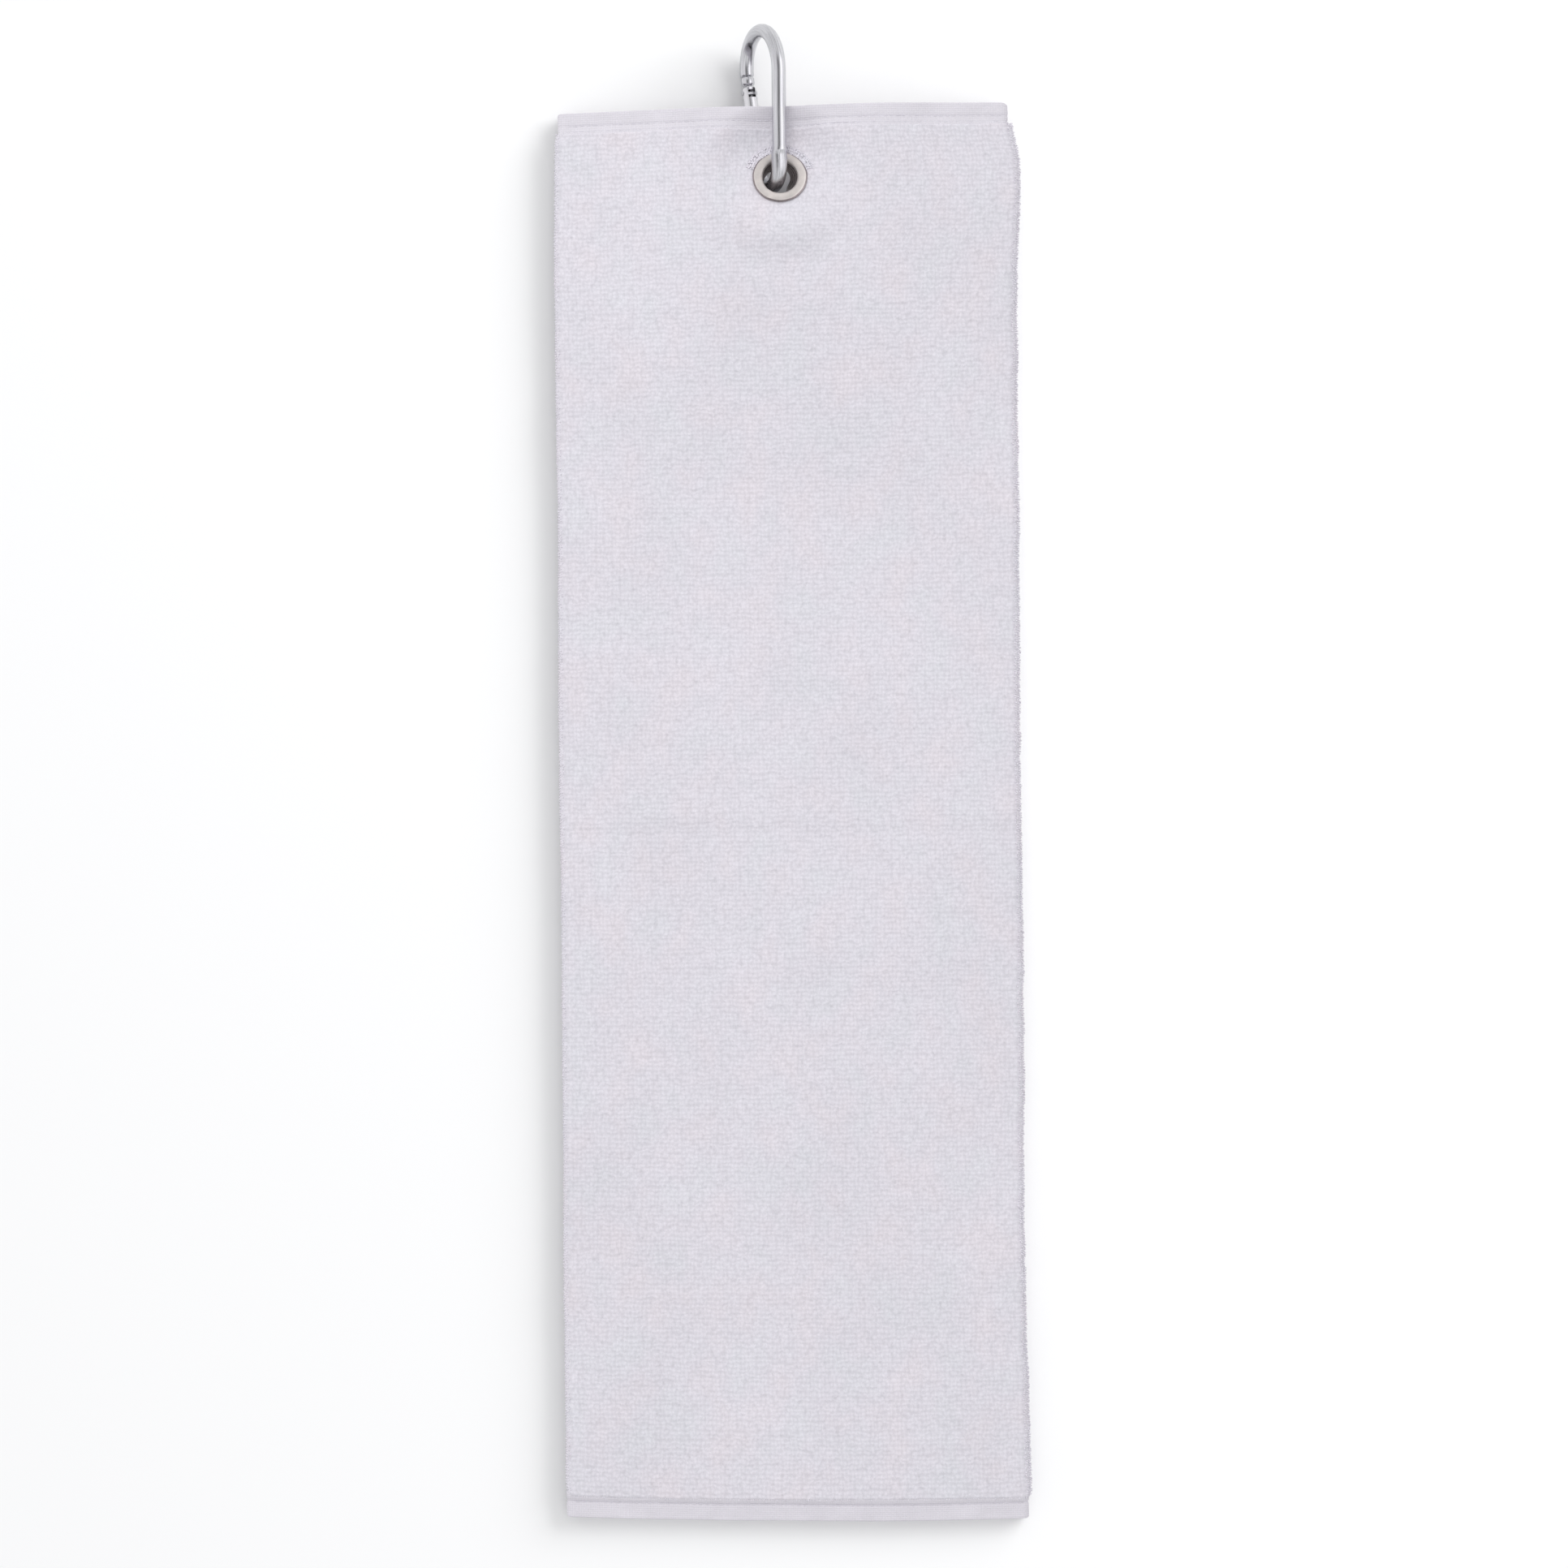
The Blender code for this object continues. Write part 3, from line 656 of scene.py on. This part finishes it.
def corner_pull(end, x, from_edge):
    """Rounded corners of the hem: the outer edge draws back near its ends."""
    left, right = HEM_INSETS[end]
    reach = 0.0030 if end == "top" else 0.0018
    near_right = np.clip(1 - (HALF - right - x) / reach, 0, 1)
    near_left = np.clip(1 - (x + HALF - left) / 0.0016, 0, 1)
    size = 0.0016 if end == "top" else 0.0008
    pull = size * (1 - np.sqrt(1 - np.minimum(near_right, 0.99) ** 2))
    pull = pull + 0.0009 * (1 - np.sqrt(1 - np.minimum(near_left, 0.99) ** 2))
    return pull * np.clip(1 - from_edge / 0.004, 0, 1)


# --- Stitches and pile edges ------------------------------------------------------------


def beads(name, paths, radius, material, sides=6):
    """Many short closed tubes in one mesh. Each path is a list of points with a thickness
    share for each."""
    points, faces = [], []
    for path, shares in paths:
        start = len(points)
        path = np.asarray(path)
        tangents = np.gradient(path, axis=0)
        tangents /= np.linalg.norm(tangents, axis=1)[:, None]
        guide = np.array([0.0, 0.0, 1.0])
        if abs(tangents[0][2]) > 0.8:
            guide = np.array([1.0, 0.0, 0.0])
        for centre, tangent, share in zip(path, tangents, shares):
            across = np.cross(tangent, guide)
            across /= np.linalg.norm(across)
            up = np.cross(across, tangent)
            for k in range(sides):
                a = 2 * pi * k / sides
                points.append(centre + radius * share * (cos(a) * across + sin(a) * up))
        faces += tube_faces(start, len(path), sides)
    return new_object(name, mesh_from(name, points, faces), material)


def hem_face(from_edge, front):
    """Height of an end hem's front or back face in the flat stack."""
    sink = hem_sink(from_edge)
    under, side = (2, 1) if front else (0, -1)
    near, far = under * (LAYER + GAP) + HEM_LIFT, under * (HEM + GAP)
    return near * (1 - sink) + far * sink + (1 + side) * HEM / 2


def build_stitches(end):
    """Rows of lockstitch on the front and on the back of the hem."""
    rng = np.random.default_rng(31 if end == "top" else 32)
    left, right = HEM_INSETS[end]
    outward = 1 if end == "top" else -1
    shares = [0.4, 0.95, 1.0, 1.0, 0.95, 0.4]
    s = np.linspace(0, 1, len(shares))
    zero = np.zeros_like(s)
    arch = 0.00016 * np.sin(pi * s) - 0.00030
    paths = []
    for front in (True, False):
        for row in STITCH_ROWS[end]:
            x = -HALF + left + 0.0030
            while x < HALF - right - 0.0035:
                length = 0.0021 + rng.uniform(-0.0002, 0.0002)
                px = x + length * s
                edge = row + rng.uniform(-0.00008, 0.00008)
                flat = hem_face(edge, front) + (arch if front else -arch)
                py = TOP_Y - edge if end == "top" else BOTTOM_Y + edge
                py = py + outward * hem_wave(px + 0.25)
                paths.append((place(px, py, flat, zero, zero), shares))
                x += length + 0.00022
    return beads(f"{end}_stitches", paths, 0.00017, THREAD)


def build_side_stitches():
    """One row along the back flap's side hem, on its outer face."""
    rng = np.random.default_rng(35)
    shares = [0.4, 0.95, 1.0, 0.95, 0.4]
    s = np.linspace(0, 1, len(shares))
    flat = 0.00030 - 0.00010 * np.sin(pi * s)
    paths = []
    y = BOTTOM_Y + HEM_DEPTH + 0.002
    while y < TOP_Y - HEM_DEPTH - 0.004:
        length = 0.0024 + rng.uniform(-0.0002, 0.0002)
        py = y + length * s
        px = BACK_FREE + 0.0058 + rng.uniform(-0.0001, 0.0001) + 0 * py
        paths.append((place(px, py, flat, *insets(py)), shares))
        y += length + 0.0003
    return beads("side_stitches", paths, 0.00018, THREAD, 5)


def tuft_path(base, direction, lean, length):
    """A short loop of pile that leans as it leaves the cloth."""
    s = np.linspace(0, 1, 4)[:, None]
    return base + direction * length * s + lean * length * s * s


def build_pile_edges():
    """Loops that stand out along the side folds, over the ends of the pile and against
    the upper edge of the eyelet's flange."""
    rng = np.random.default_rng(41)
    paths = []
    shares = [0.75, 1.0, 0.95, 0.45]
    low, high = BOTTOM_Y + HEM_DEPTH, TOP_Y - HEM_DEPTH
    # Each fold: its side, radius, middle height, the reach and pitch of its loops, and the
    # angles round the fold at which they stand
    left_fold = (-1, (2 * LAYER + GAP) / 2, 2 * LAYER + 1.5 * GAP, 0.00035, 0.00095, (0, 34, 62))
    right_fold = (1, STACK / 2, STACK / 2, 0.00062, 0.00080, (-28, 0, 28, 56))
    for side, radius, middle, reach, pitch, turns in (left_fold, right_fold):
        for turn in turns:
            y = low + 0.0004
            while y < high - 0.0004:
                y += pitch * rng.uniform(0.75, 1.25)
                a = radians(turn + rng.uniform(-9, 9))
                x = side * (HALF - radius) + side * (radius - 0.00030) * cos(a)
                flat = middle + (radius - 0.00030) * sin(a)
                base = place(x, y, flat, *insets(y))
                direction = np.array([side * cos(a), 0.0, sin(a)])
                lean = np.array([0.0, rng.uniform(-0.6, 0.3), rng.uniform(-0.2, 0.2)])
                length = 0.00030 + reach * rng.uniform(0.45, 1.15)
                paths.append((tuft_path(base, direction, lean, length), shares))
    for end, edge, outward in (("top", high, 1), ("bottom", low, -1)):
        for face, flat in ((1, STACK), (-1, 0.0)):
            x = -HALF + 0.0016
            while x < HALF - 0.0018:
                x += 0.00072 * rng.uniform(0.7, 1.3)
                for sunk in (0.00035, 0.00080):
                    y = edge - outward * rng.uniform(0.0001, 0.0005)
                    base = place(x, y, flat - face * sunk, *insets(edge))
                    direction = np.array([rng.uniform(-0.15, 0.15), outward, -face * 0.30])
                    lean = np.array([rng.uniform(-0.2, 0.2), 0.0, -face * 0.2])
                    shorter = 0.75 if end == "top" else 1.0
                    length = shorter * rng.uniform(0.00045, 0.00105)
                    paths.append((tuft_path(base, direction, lean, length), shares))
    # Radius and height of the rows that heap up against the flange
    heap = ((0.0098, 1.0), (0.0104, 0.9), (0.0111, 0.66), (0.0118, 0.44), (0.0125, 0.26))
    for turn in np.arange(18, 162, 1.5):
        north = sin(radians(turn))
        for r, tall in heap:
            a = radians(turn + rng.uniform(-1.2, 1.2))
            radial = Vector((cos(a), 0, 0)) + UPHILL * sin(a)
            base = EYELET + radial * (r + rng.uniform(-0.0002, 0.0002))
            base = base + AXIS * (CLAMPED / 2 - 0.0003)
            length = 0.0002 + tall * (0.0005 + 0.0009 * north**2) * rng.uniform(0.7, 1.15)
            ways = [np.array(v) for v in (base, AXIS * 0.8 - radial * 0.55, -radial)]
            paths.append((tuft_path(*ways, length), shares))
    # The loops wear the lighter copy of the terry: painted light
    edges = beads("pile_edges", paths, 0.00030, PAINTED_LIGHT_PILE, 4)
    x, y, z = vectors(edges.data, "position").T
    point_attribute(edges.data, "weave", np.stack([x + z, y, z], -1))
    return edges


# --- Eyelet -----------------------------------------------------------------------------


def turned(name, profile, *materials):
    """A ring turned from a closed (radius, height) profile, on the eyelet's axis. A third
    number draws a point in on the wire's side, where the barrel was crushed a little."""
    count, steps = len(profile), 96
    points, faces = [], []
    for k in range(steps):
        a = 2 * pi * k / steps
        radial = Vector((cos(a), 0, 0)) + UPHILL * sin(a)
        wavy = 1 + 0.004 * sin(5 * a + 0.7) + 0.003 * sin(11 * a)
        for r, h, *squeeze in profile:
            r = r * wavy if r > 0.009 else r
            r -= sum(squeeze) * max(0.0, cos(a + radians(18))) ** 1.3
            points.append(EYELET + radial * r + AXIS * h)
    for k in range(steps):
        for i in range(count):
            j, m = (i + 1) % count, (k + 1) % steps
            faces.append((k * count + i, k * count + j, m * count + j, m * count + i))
    mesh = mesh_from(name, points, faces)
    mesh.set_sharp_from_angle(angle=radians(50))
    return new_object(name, mesh, *materials)


def build_eyelet():
    """The eyelet, with its rounded flange, ridged barrel and rolled back, and its washer."""
    face = CLAMPED / 2 + 0.0002
    outer, bore = 0.0097, 0.0061
    crown = [(outer, 0), (outer - 0.00003, 0.00022), (outer - 0.00032, 0.00038)]
    crown += [(outer - 0.00048, 0.00050), (outer - 0.0009, 0.00068), (0.0080, 0.00076)]
    crown += [(0.0071, 0.00070), (0.00665, 0.00056), (0.0063, 0.00026), (bore, -0.0002)]
    crown = [(r, face + h) for r, h in crown]
    high = -CLAMPED / 2 - GAP  # the washer's faces
    low = high - 0.0005
    back = low - 2 * GAP
    barrel = []
    rings, fine = 5, 8
    for i in range(rings * fine + 1):
        t = i / (rings * fine)
        h = face - 0.0006 + (back - face + 0.0012) * t
        ridge = 0.00030 * (0.5 - 0.5 * cos(2 * pi * t * rings)) ** 0.6
        barrel.append((bore - ridge * min(1, 4 * (1 - t)), h, 0.0034 * t))
    roll = [
        (bore + 0.0007 * (1 + cos(t)), back + 0.0007 * sin(t), 0.0017 * (1 - cos(t)))
        for t in (pi + radians(22.5 * i) for i in range(9))
    ]
    shank = 0.0066
    profile = crown + barrel + roll + [(shank, back), (shank, face)]
    eyelet = turned("eyelet_brass", profile, NICKEL, NICKEL_PAINTED_SHADE)
    # The flange's lip and the grooves between the barrel's ridges take painted shade: a dark nickel
    # standing in for the shadow in the gap under the lip and down in the grooves
    for polygon in eyelet.data.polygons:
        i = polygon.index % len(profile)
        j = i - len(crown)
        crest = j % fine in (3, 4, 5)
        if i < 3 or (0 <= j < len(barrel) + 3 and not crest):
            polygon.material_index = 1

    rim, hole = 0.0096, 0.0069
    ring = [(rim, high), (rim + 0.00005, high - 0.0002), (rim - 0.0002, low - 0.0001)]
    ring += [(0.0088, low - 0.00018), (0.0077, low - 0.00010), (hole, low), (hole, high)]
    return eyelet, turned("washer", ring, NICKEL)


# --- Carabiner --------------------------------------------------------------------------

# As in the part. CLIP_WIDTH is from wire centre to wire centre, and the gate's sizes are
# along it from its pin
WIRE_R, CLIP_LENGTH, CLIP_WIDTH, BEND_R = 0.0025, 0.060, 0.027, 0.0085
ROLL, RISE = radians(65), radians(10)
GATE_R, GATE_BACK, LATCH_X, FORK_END = 0.00265, -0.0026, 0.0232, 0.0253
ALONG = Vector((0, cos(RISE), sin(RISE)))
ACROSS = Vector((cos(ROLL), -sin(ROLL) * sin(RISE), sin(ROLL) * cos(RISE)))
BEND = EYELET - AXIS * 0.0055 - UPHILL * 0.00025
BEND.x = EYELET.x - 0.0001 - BEND_R * ACROSS.x
ARCH_R = CLIP_WIDTH / 2
ARCH_U = CLIP_LENGTH - 2 * WIRE_R - ARCH_R
ARCH_V = BEND_R - ARCH_R
SLANT = 2 * atan((ARCH_R - BEND_R) / (ARCH_U - BEND_R))
PIN_U = BEND_R - BEND_R * sin(SLANT) + 0.005 * cos(SLANT)
PIN_V = -BEND_R * cos(SLANT) - 0.005 * sin(SLANT)
GATE_ALONG = ALONG * cos(SLANT) - ACROSS * sin(SLANT)
GATE_IN = ALONG * sin(SLANT) + ACROSS * cos(SLANT)
SIDEWAYS = GATE_ALONG.cross(GATE_IN)


def in_loop(u, v):
    return BEND + ALONG * u + ACROSS * v


PIN = in_loop(PIN_U, PIN_V)


def in_gate(x, y=0.0, z=0.0):
    return PIN + GATE_ALONG * x + GATE_IN * y + SIDEWAYS * z


def wire_stations():
    """From the nose round the arch, down the spine, round the bend to the hinge tongue.
    Each is a centre, a direction, the section's inner and outer reach in the loop's plane,
    its half depth, and how square it is."""
    rows = []

    def leg(x, inward, outward, depth, square=2.0):
        rows.append((in_gate(x), GATE_ALONG, inward, outward, depth, square))

    # The nose, a hooked blade that catches the latch pin, then the bulb and the groove
    nose = 0.0011
    leg(0.0219, 0.0001, -0.0019, nose * 0.7, 4.0)
    leg(0.0221, -0.0008, -0.0021, nose, 5.0)
    leg(0.0224, -0.0010, -0.0021, nose, 5.0)
    leg(0.0240, -0.0010, -0.0021, nose, 5.0)
    leg(0.02425, 0.0015, -0.0021, nose, 5.0)
    leg(0.0245, 0.0017, -0.0021, nose, 5.0)
    leg(0.0254, 0.0017, -0.0021, nose, 4.5)
    for s in (0.0, 0.15, 0.35, 0.6, 0.85):
        x = 0.0256 + 0.0030 * s
        r = 0.0016 + 0.00085 * sqrt(1 - (1 - min(1, s * 1.9)) ** 2)
        leg(x, r, -r, r)
    groove = ((0.02865, 0.00225), (0.0288, 0.00185), (0.02895, 0.0018), (0.0291, 0.0020))
    for x, r in groove + ((0.02925, 0.0024), (0.0294, WIRE_R)):
        leg(x, r, -r, r)
    end_turn = pi + SLANT - 0.12
    steps = 60
    for i in range(steps + 1):
        t = end_turn * (1 - i / steps)
        centre = in_loop(ARCH_U + ARCH_R * sin(t), ARCH_V + ARCH_R * cos(t))
        tangent = ALONG * -cos(t) + ACROSS * sin(t)
        flat = 0.00007 * sin(min(pi, t)) if t < pi else 0.0
        rows.append((centre, tangent, WIRE_R - flat, -WIRE_R + flat, WIRE_R + flat, 2.0))
    spine, nip = 26, BEND_R + 0.0046
    for i in range(1, spine):
        u = ARCH_U + (nip + 0.0013 - ARCH_U) * i / spine
        rows.append((in_loop(u, BEND_R), -ALONG, WIRE_R, -WIRE_R, WIRE_R, 2.0))
    # The wire is nipped flatter where it was bent, with a small step at the bend's start
    nips = ((0.0012, 0.0, 0.0), (0.0009, 0.00008, -0.00008), (0.0006, 0.00014, 0.00002))
    nips += ((-0.0006, 0.00024, 0.00060), (-0.0014, 0.00026, 0.00052), (-0.0028, 0.00028, 0.0003))
    for u, wide, flat in nips:
        rows.append((in_loop(nip + u, BEND_R), -ALONG, WIRE_R, -WIRE_R + flat, WIRE_R + wide, 2.3))
    sweep, steps = pi - SLANT, 40
    for i in range(steps + 1):
        t = sweep * i / steps
        centre = in_loop(BEND_R - BEND_R * sin(t), BEND_R * cos(t))
        tangent = ALONG * -cos(t) - ACROSS * sin(t)
        fade = 1 - smooth((t / sweep - 0.55) / 0.4)
        flat, wide, square = 0.0003 * fade, 0.00026 * fade, 2.0 + 0.3 * fade
        rows.append((centre, tangent, WIRE_R, -WIRE_R + flat, WIRE_R + wide, square))
    # The shoulder and the flat, rounded tongue that the gate is pinned to
    for x in (-0.0046, -0.0042):
        leg(x, WIRE_R, -WIRE_R, WIRE_R)
    leg(-0.0040, 0.0023, -0.0023, 0.0023)
    tongue = 0.00085
    leg(-0.00398, 0.0020, -0.0020, tongue, 6.0)
    for x in (-0.0030, -0.0018, -0.0006, 0.0004, 0.0010, 0.0014, 0.0017, 0.0019, 0.00198):
        r = 0.0020 if x < 0 else sqrt(max(0.0, 0.0020**2 - x * x))
        leg(x, r, -r, tongue, 6.0)
    return rows


def build_wire():
    """The frame as one skin over its stations, with the places of its draw marks and of
    its scuffs, which lie on the arch's shoulder and at the bend."""
    rows = wire_stations()
    sides = 48
    points, marks, wear = [], [], []
    travelled, before = 0.0, None
    for centre, tangent, inward, outward, depth, square in rows:
        u = (centre - BEND).dot(ALONG)
        v = (centre - BEND).dot(ACROSS)
        shoulder = smooth((u - ARCH_U - 0.001) / 0.007) * smooth((v - ARCH_V + 0.011) / 0.006)
        bend = 1 - smooth((u - BEND_R - 0.0040) / 0.0022)
        wear += [(max(0.12, 0.9 * shoulder, 0.8 * bend), 0, 0)] * sides
        inside = SIDEWAYS.cross(tangent)
        middle, reach = (inward + outward) / 2, (inward - outward) / 2
        if before is not None:
            travelled += (centre - before).length
        before = centre
        for k in range(sides):
            a = 2 * pi * k / sides
            c, s = cos(a), sin(a)
            power = 2 / square
            c = abs(c) ** power * (1 if c > 0 else -1)
            s = abs(s) ** power * (1 if s > 0 else -1)
            points.append(centre + inside * (middle + reach * c) + SIDEWAYS * (depth * s))
            marks.append((cos(a), travelled * 12, sin(a)))
    mesh = mesh_from("carabiner_wire", points, tube_faces(0, len(rows), sides))
    mesh.set_sharp_from_angle(angle=radians(42))
    point_attribute(mesh, "along", marks)
    point_attribute(mesh, "worn", wear)
    return new_object("carabiner_wire", mesh, WIRE)


GATE_PLACE = Matrix.Translation(PIN) @ Matrix((GATE_ALONG, GATE_IN, SIDEWAYS)).transposed().to_4x4()


def lathe(name, profile, steps=48):
    """A solid turned about local X from (radius, x) points, first and last on the axis."""
    points, faces = [(profile[0][1], 0, 0)], []
    inner = profile[1:-1]
    for r, x in inner:
        for k in range(steps):
            a = 2 * pi * k / steps
            points.append((x, r * cos(a), r * sin(a)))
    points.append((profile[-1][1], 0, 0))
    last = len(points) - 1
    for k in range(steps):
        faces.append((0, 1 + (k + 1) % steps, 1 + k))
        for i in range(len(inner) - 1):
            a, b = 1 + i * steps + k, 1 + i * steps + (k + 1) % steps
            faces.append((a, b, b + steps, a + steps))
        base = 1 + (len(inner) - 1) * steps
        faces.append((base + k, base + (k + 1) % steps, last))
    return new_object(name, mesh_from(name, points, faces))


def box_helper(name, x, y, z):
    """A box between two limits on each axis, to cut with."""
    bm = bmesh.new()
    bmesh.ops.create_cube(bm, size=1)
    for v in bm.verts:
        v.co = [low if p < 0 else high for p, (low, high) in zip(v.co, (x, y, z))]
    return helper_object(name, bm)


def build_gate():
    """The gate's tube, slotted at both ends and bored for its spring, and its two pins."""
    r, back, front = GATE_R, GATE_BACK, FORK_END
    profile = [(0, back), (r - 0.0012, back), (r - 0.0005, back + 0.0002)]
    profile += [(r - 0.00012, back + 0.0006), (r, back + 0.0012), (r, front - 0.0011)]
    profile += [(r - 0.00012, front - 0.0006), (r - 0.0004, front - 0.0002)]
    profile += [(r - 0.0008, front), (0, front)]
    gate = lathe("gate_tube", profile, 64)
    wide = (-0.004, 0.004)
    helpers = [
        box_helper("slot_a", (-0.005, 0.0034), wide, (-0.00115, 0.00115)),
        box_helper("slot_b", (0.0212, 0.030), wide, (-0.00140, 0.00140)),
        lathe("bore", [(0, 0.0019), (0.00165, 0.0019), (0.00165, 0.0180), (0, 0.0180)]),
    ]
    cut(gate, helpers)
    gate.matrix_world = GATE_PLACE
    gate.data.shade_smooth()
    gate.data.set_sharp_from_angle(angle=radians(32))
    gate.data.materials.clear()
    gate.data.materials.append(TUBE)

    half = 0.00285
    tail = [(0.00075, half - 0.0003), (0.00085, half - 0.00009), (0.0005, half), (0, half)]
    head = [(r, -x) for r, x in reversed(tail)]
    crosswise = Matrix.Rotation(-pi / 2, 4, "Y")
    pins = []
    for name, x in (("hinge_rivet", 0.0), ("latch_rivet", LATCH_X)):
        pin = lathe(name, head + tail, 24)
        pin.matrix_world = GATE_PLACE @ Matrix.Translation((x, 0, 0)) @ crosswise
        pin.data.set_sharp_from_angle(angle=radians(40))
        pin.data.materials.append(STEEL)
        pins.append(pin)
    return gate, pins


# --- Building ---------------------------------------------------------------------------

cloth = build_cloth()
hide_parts(*[f"{name}_{half}" for name in CLOTH_PARTS for half in ("upper", "lower")])

pile = build_pile_edges()
side_stitches = build_side_stitches()
hems, stitches = {}, {}
for end, body in (("top", "towel_upper"), ("bottom", "towel_lower")):
    hems[end] = build_hem(end)
    stitches[end] = build_stitches(end)
    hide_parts(*[f"{layer}_{end}_hem" for layer in LAYERS])
    for piece in (hems[end], stitches[end]):
        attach(piece, body)
for piece in (cloth, pile, side_stitches):
    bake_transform(piece)

eyelet, washer = build_eyelet()
wire = build_wire()
gate, pins = build_gate()
for piece, body, node, slot in (
    (eyelet, "towel_upper", "eyelet", "nickel"),
    (washer, "towel_upper", "eyelet_washer", "nickel"),
    (wire, "carabiner", "carabiner_frame", "aluminium"),
    (gate, "gate", "gate", "aluminium"),
    (pins[0], "gate", "hinge_pin", "steel"),
    (pins[1], "gate", "latch_pin", "steel"),
):
    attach(piece, body)
    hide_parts(node)
for node in ("gate_plunger", "gate_spring"):
    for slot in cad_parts[node].material_slots:
        slot.material = STEEL


# --- Floor, light and camera ------------------------------------------------------------

floor_mesh = bpy.data.meshes.new("floor")
floor_mesh.from_pydata([(-4, -4, 0), (4, -4, 0), (4, 4, 0), (-4, 4, 0)], [], [(0, 1, 2, 3)])
paper = Nodes(bpy.data.materials.new("paper"))
paper.set(Base_Color=(0.93, 0.93, 0.93, 1), Roughness=0.95, Specular_IOR_Level=0.1)
floor = new_object("floor", floor_mesh, paper.owner)
floor.location.z = -0.0002
floor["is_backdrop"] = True


def area_light(name, where, width, height, power):
    """A soft box that faces the middle of the object."""
    data = bpy.data.lights.new(name, "AREA")
    data.shape = "RECTANGLE"
    data.size, data.size_y = width, height
    data.energy = power
    obj = new_object(name, data)
    obj.location = where
    obj.rotation_euler = (-where).to_track_quat("-Z", "Y").to_euler()
    return obj


# A low, broad key lights the floor and casts the soft shadow to the lower left. A high one
# shades the object. Neither shows in the metal, which mirrors the studio below.
LOW, HIGH, SIDE = radians(23), radians(60), radians(36)
low_from = Vector((cos(LOW) * cos(SIDE), cos(LOW) * sin(SIDE), sin(LOW))) * 2.8
high_from = Vector((cos(HIGH) * -0.4, cos(HIGH) * 0.917, sin(HIGH))) * 2.6
low_key = area_light("low_key", low_from, 2.3, 1.5, 71)
high_key = area_light("high_key", high_from, 1.6, 1.6, 27)
for light, state in ((low_key, "INCLUDE"), (high_key, "EXCLUDE")):
    light.visible_glossy = False
    group = bpy.data.collections.new(light.name)
    group.objects.link(floor)
    group.collection_objects[0].light_linking.link_state = state
    light.light_linking.receiver_collection = group


def studio_world():
    """An even pale studio. What mirrors see of it is dark overhead, with a bright screen
    on the right, and plain towards the object's two ends."""
    n = Nodes(bpy.data.worlds.new("studio"))
    x, y, z = n.axes(n.node("ShaderNodeTexCoord").outputs["Generated"])
    lean = n.math("ARCTAN2", x, z)
    # Degrees from overhead towards the right, and how bright the studio is there
    levels = [(-110, 0.46), (-62, 0.58), (-34, 0.56), (-16, 0.24), (-4, 0.04), (8, 0.18)]
    levels += [(24, 0.46), (40, 0.98), (54, 1.0), (66, 0.62), (95, 0.44)]
    stops = [(0.5 + angle / 360, (v, v * 0.99, v * 1.01)) for angle, v in levels]
    across = n.ramp(n.remap(lean, -pi, pi, 0.0, 1.0), stops, "B_SPLINE")
    ends = n.remap(n.math("ABSOLUTE", y), 0.25, 0.60, 0.0, 1.0)
    mirrored = n.mix(ends, across, (0.50, 0.50, 0.505))
    glossy = n.node("ShaderNodeLightPath").outputs["Is Glossy Ray"]
    seen = n.mix(glossy, (0.444, 0.446, 0.451), mirrored)
    n.fill(n.tree.nodes["Background"], Color=seen, Strength=1.8)
    bpy.context.scene.world = n.owner


studio_world()

scene = bpy.context.scene
scene.view_settings.view_transform = "Standard"
scene.view_settings.look = "None"

# Straight above, from 1.6 m, turned about half a degree
camera_data = bpy.data.cameras.new("camera")
camera_data.lens, camera_data.sensor_width = 102.7, 36.0
camera_data.clip_start, camera_data.clip_end = 0.05, 20
camera = new_object("camera", camera_data)
camera.location = (-0.0029, -0.0036, 1.6)
camera.rotation_euler = (0, 0, radians(-0.547))
scene.camera = camera

boxes = {"cad": cad_box, "visual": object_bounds()}
boxes = {name: [[float(c) for c in corner] for corner in box] for name, box in boxes.items()}
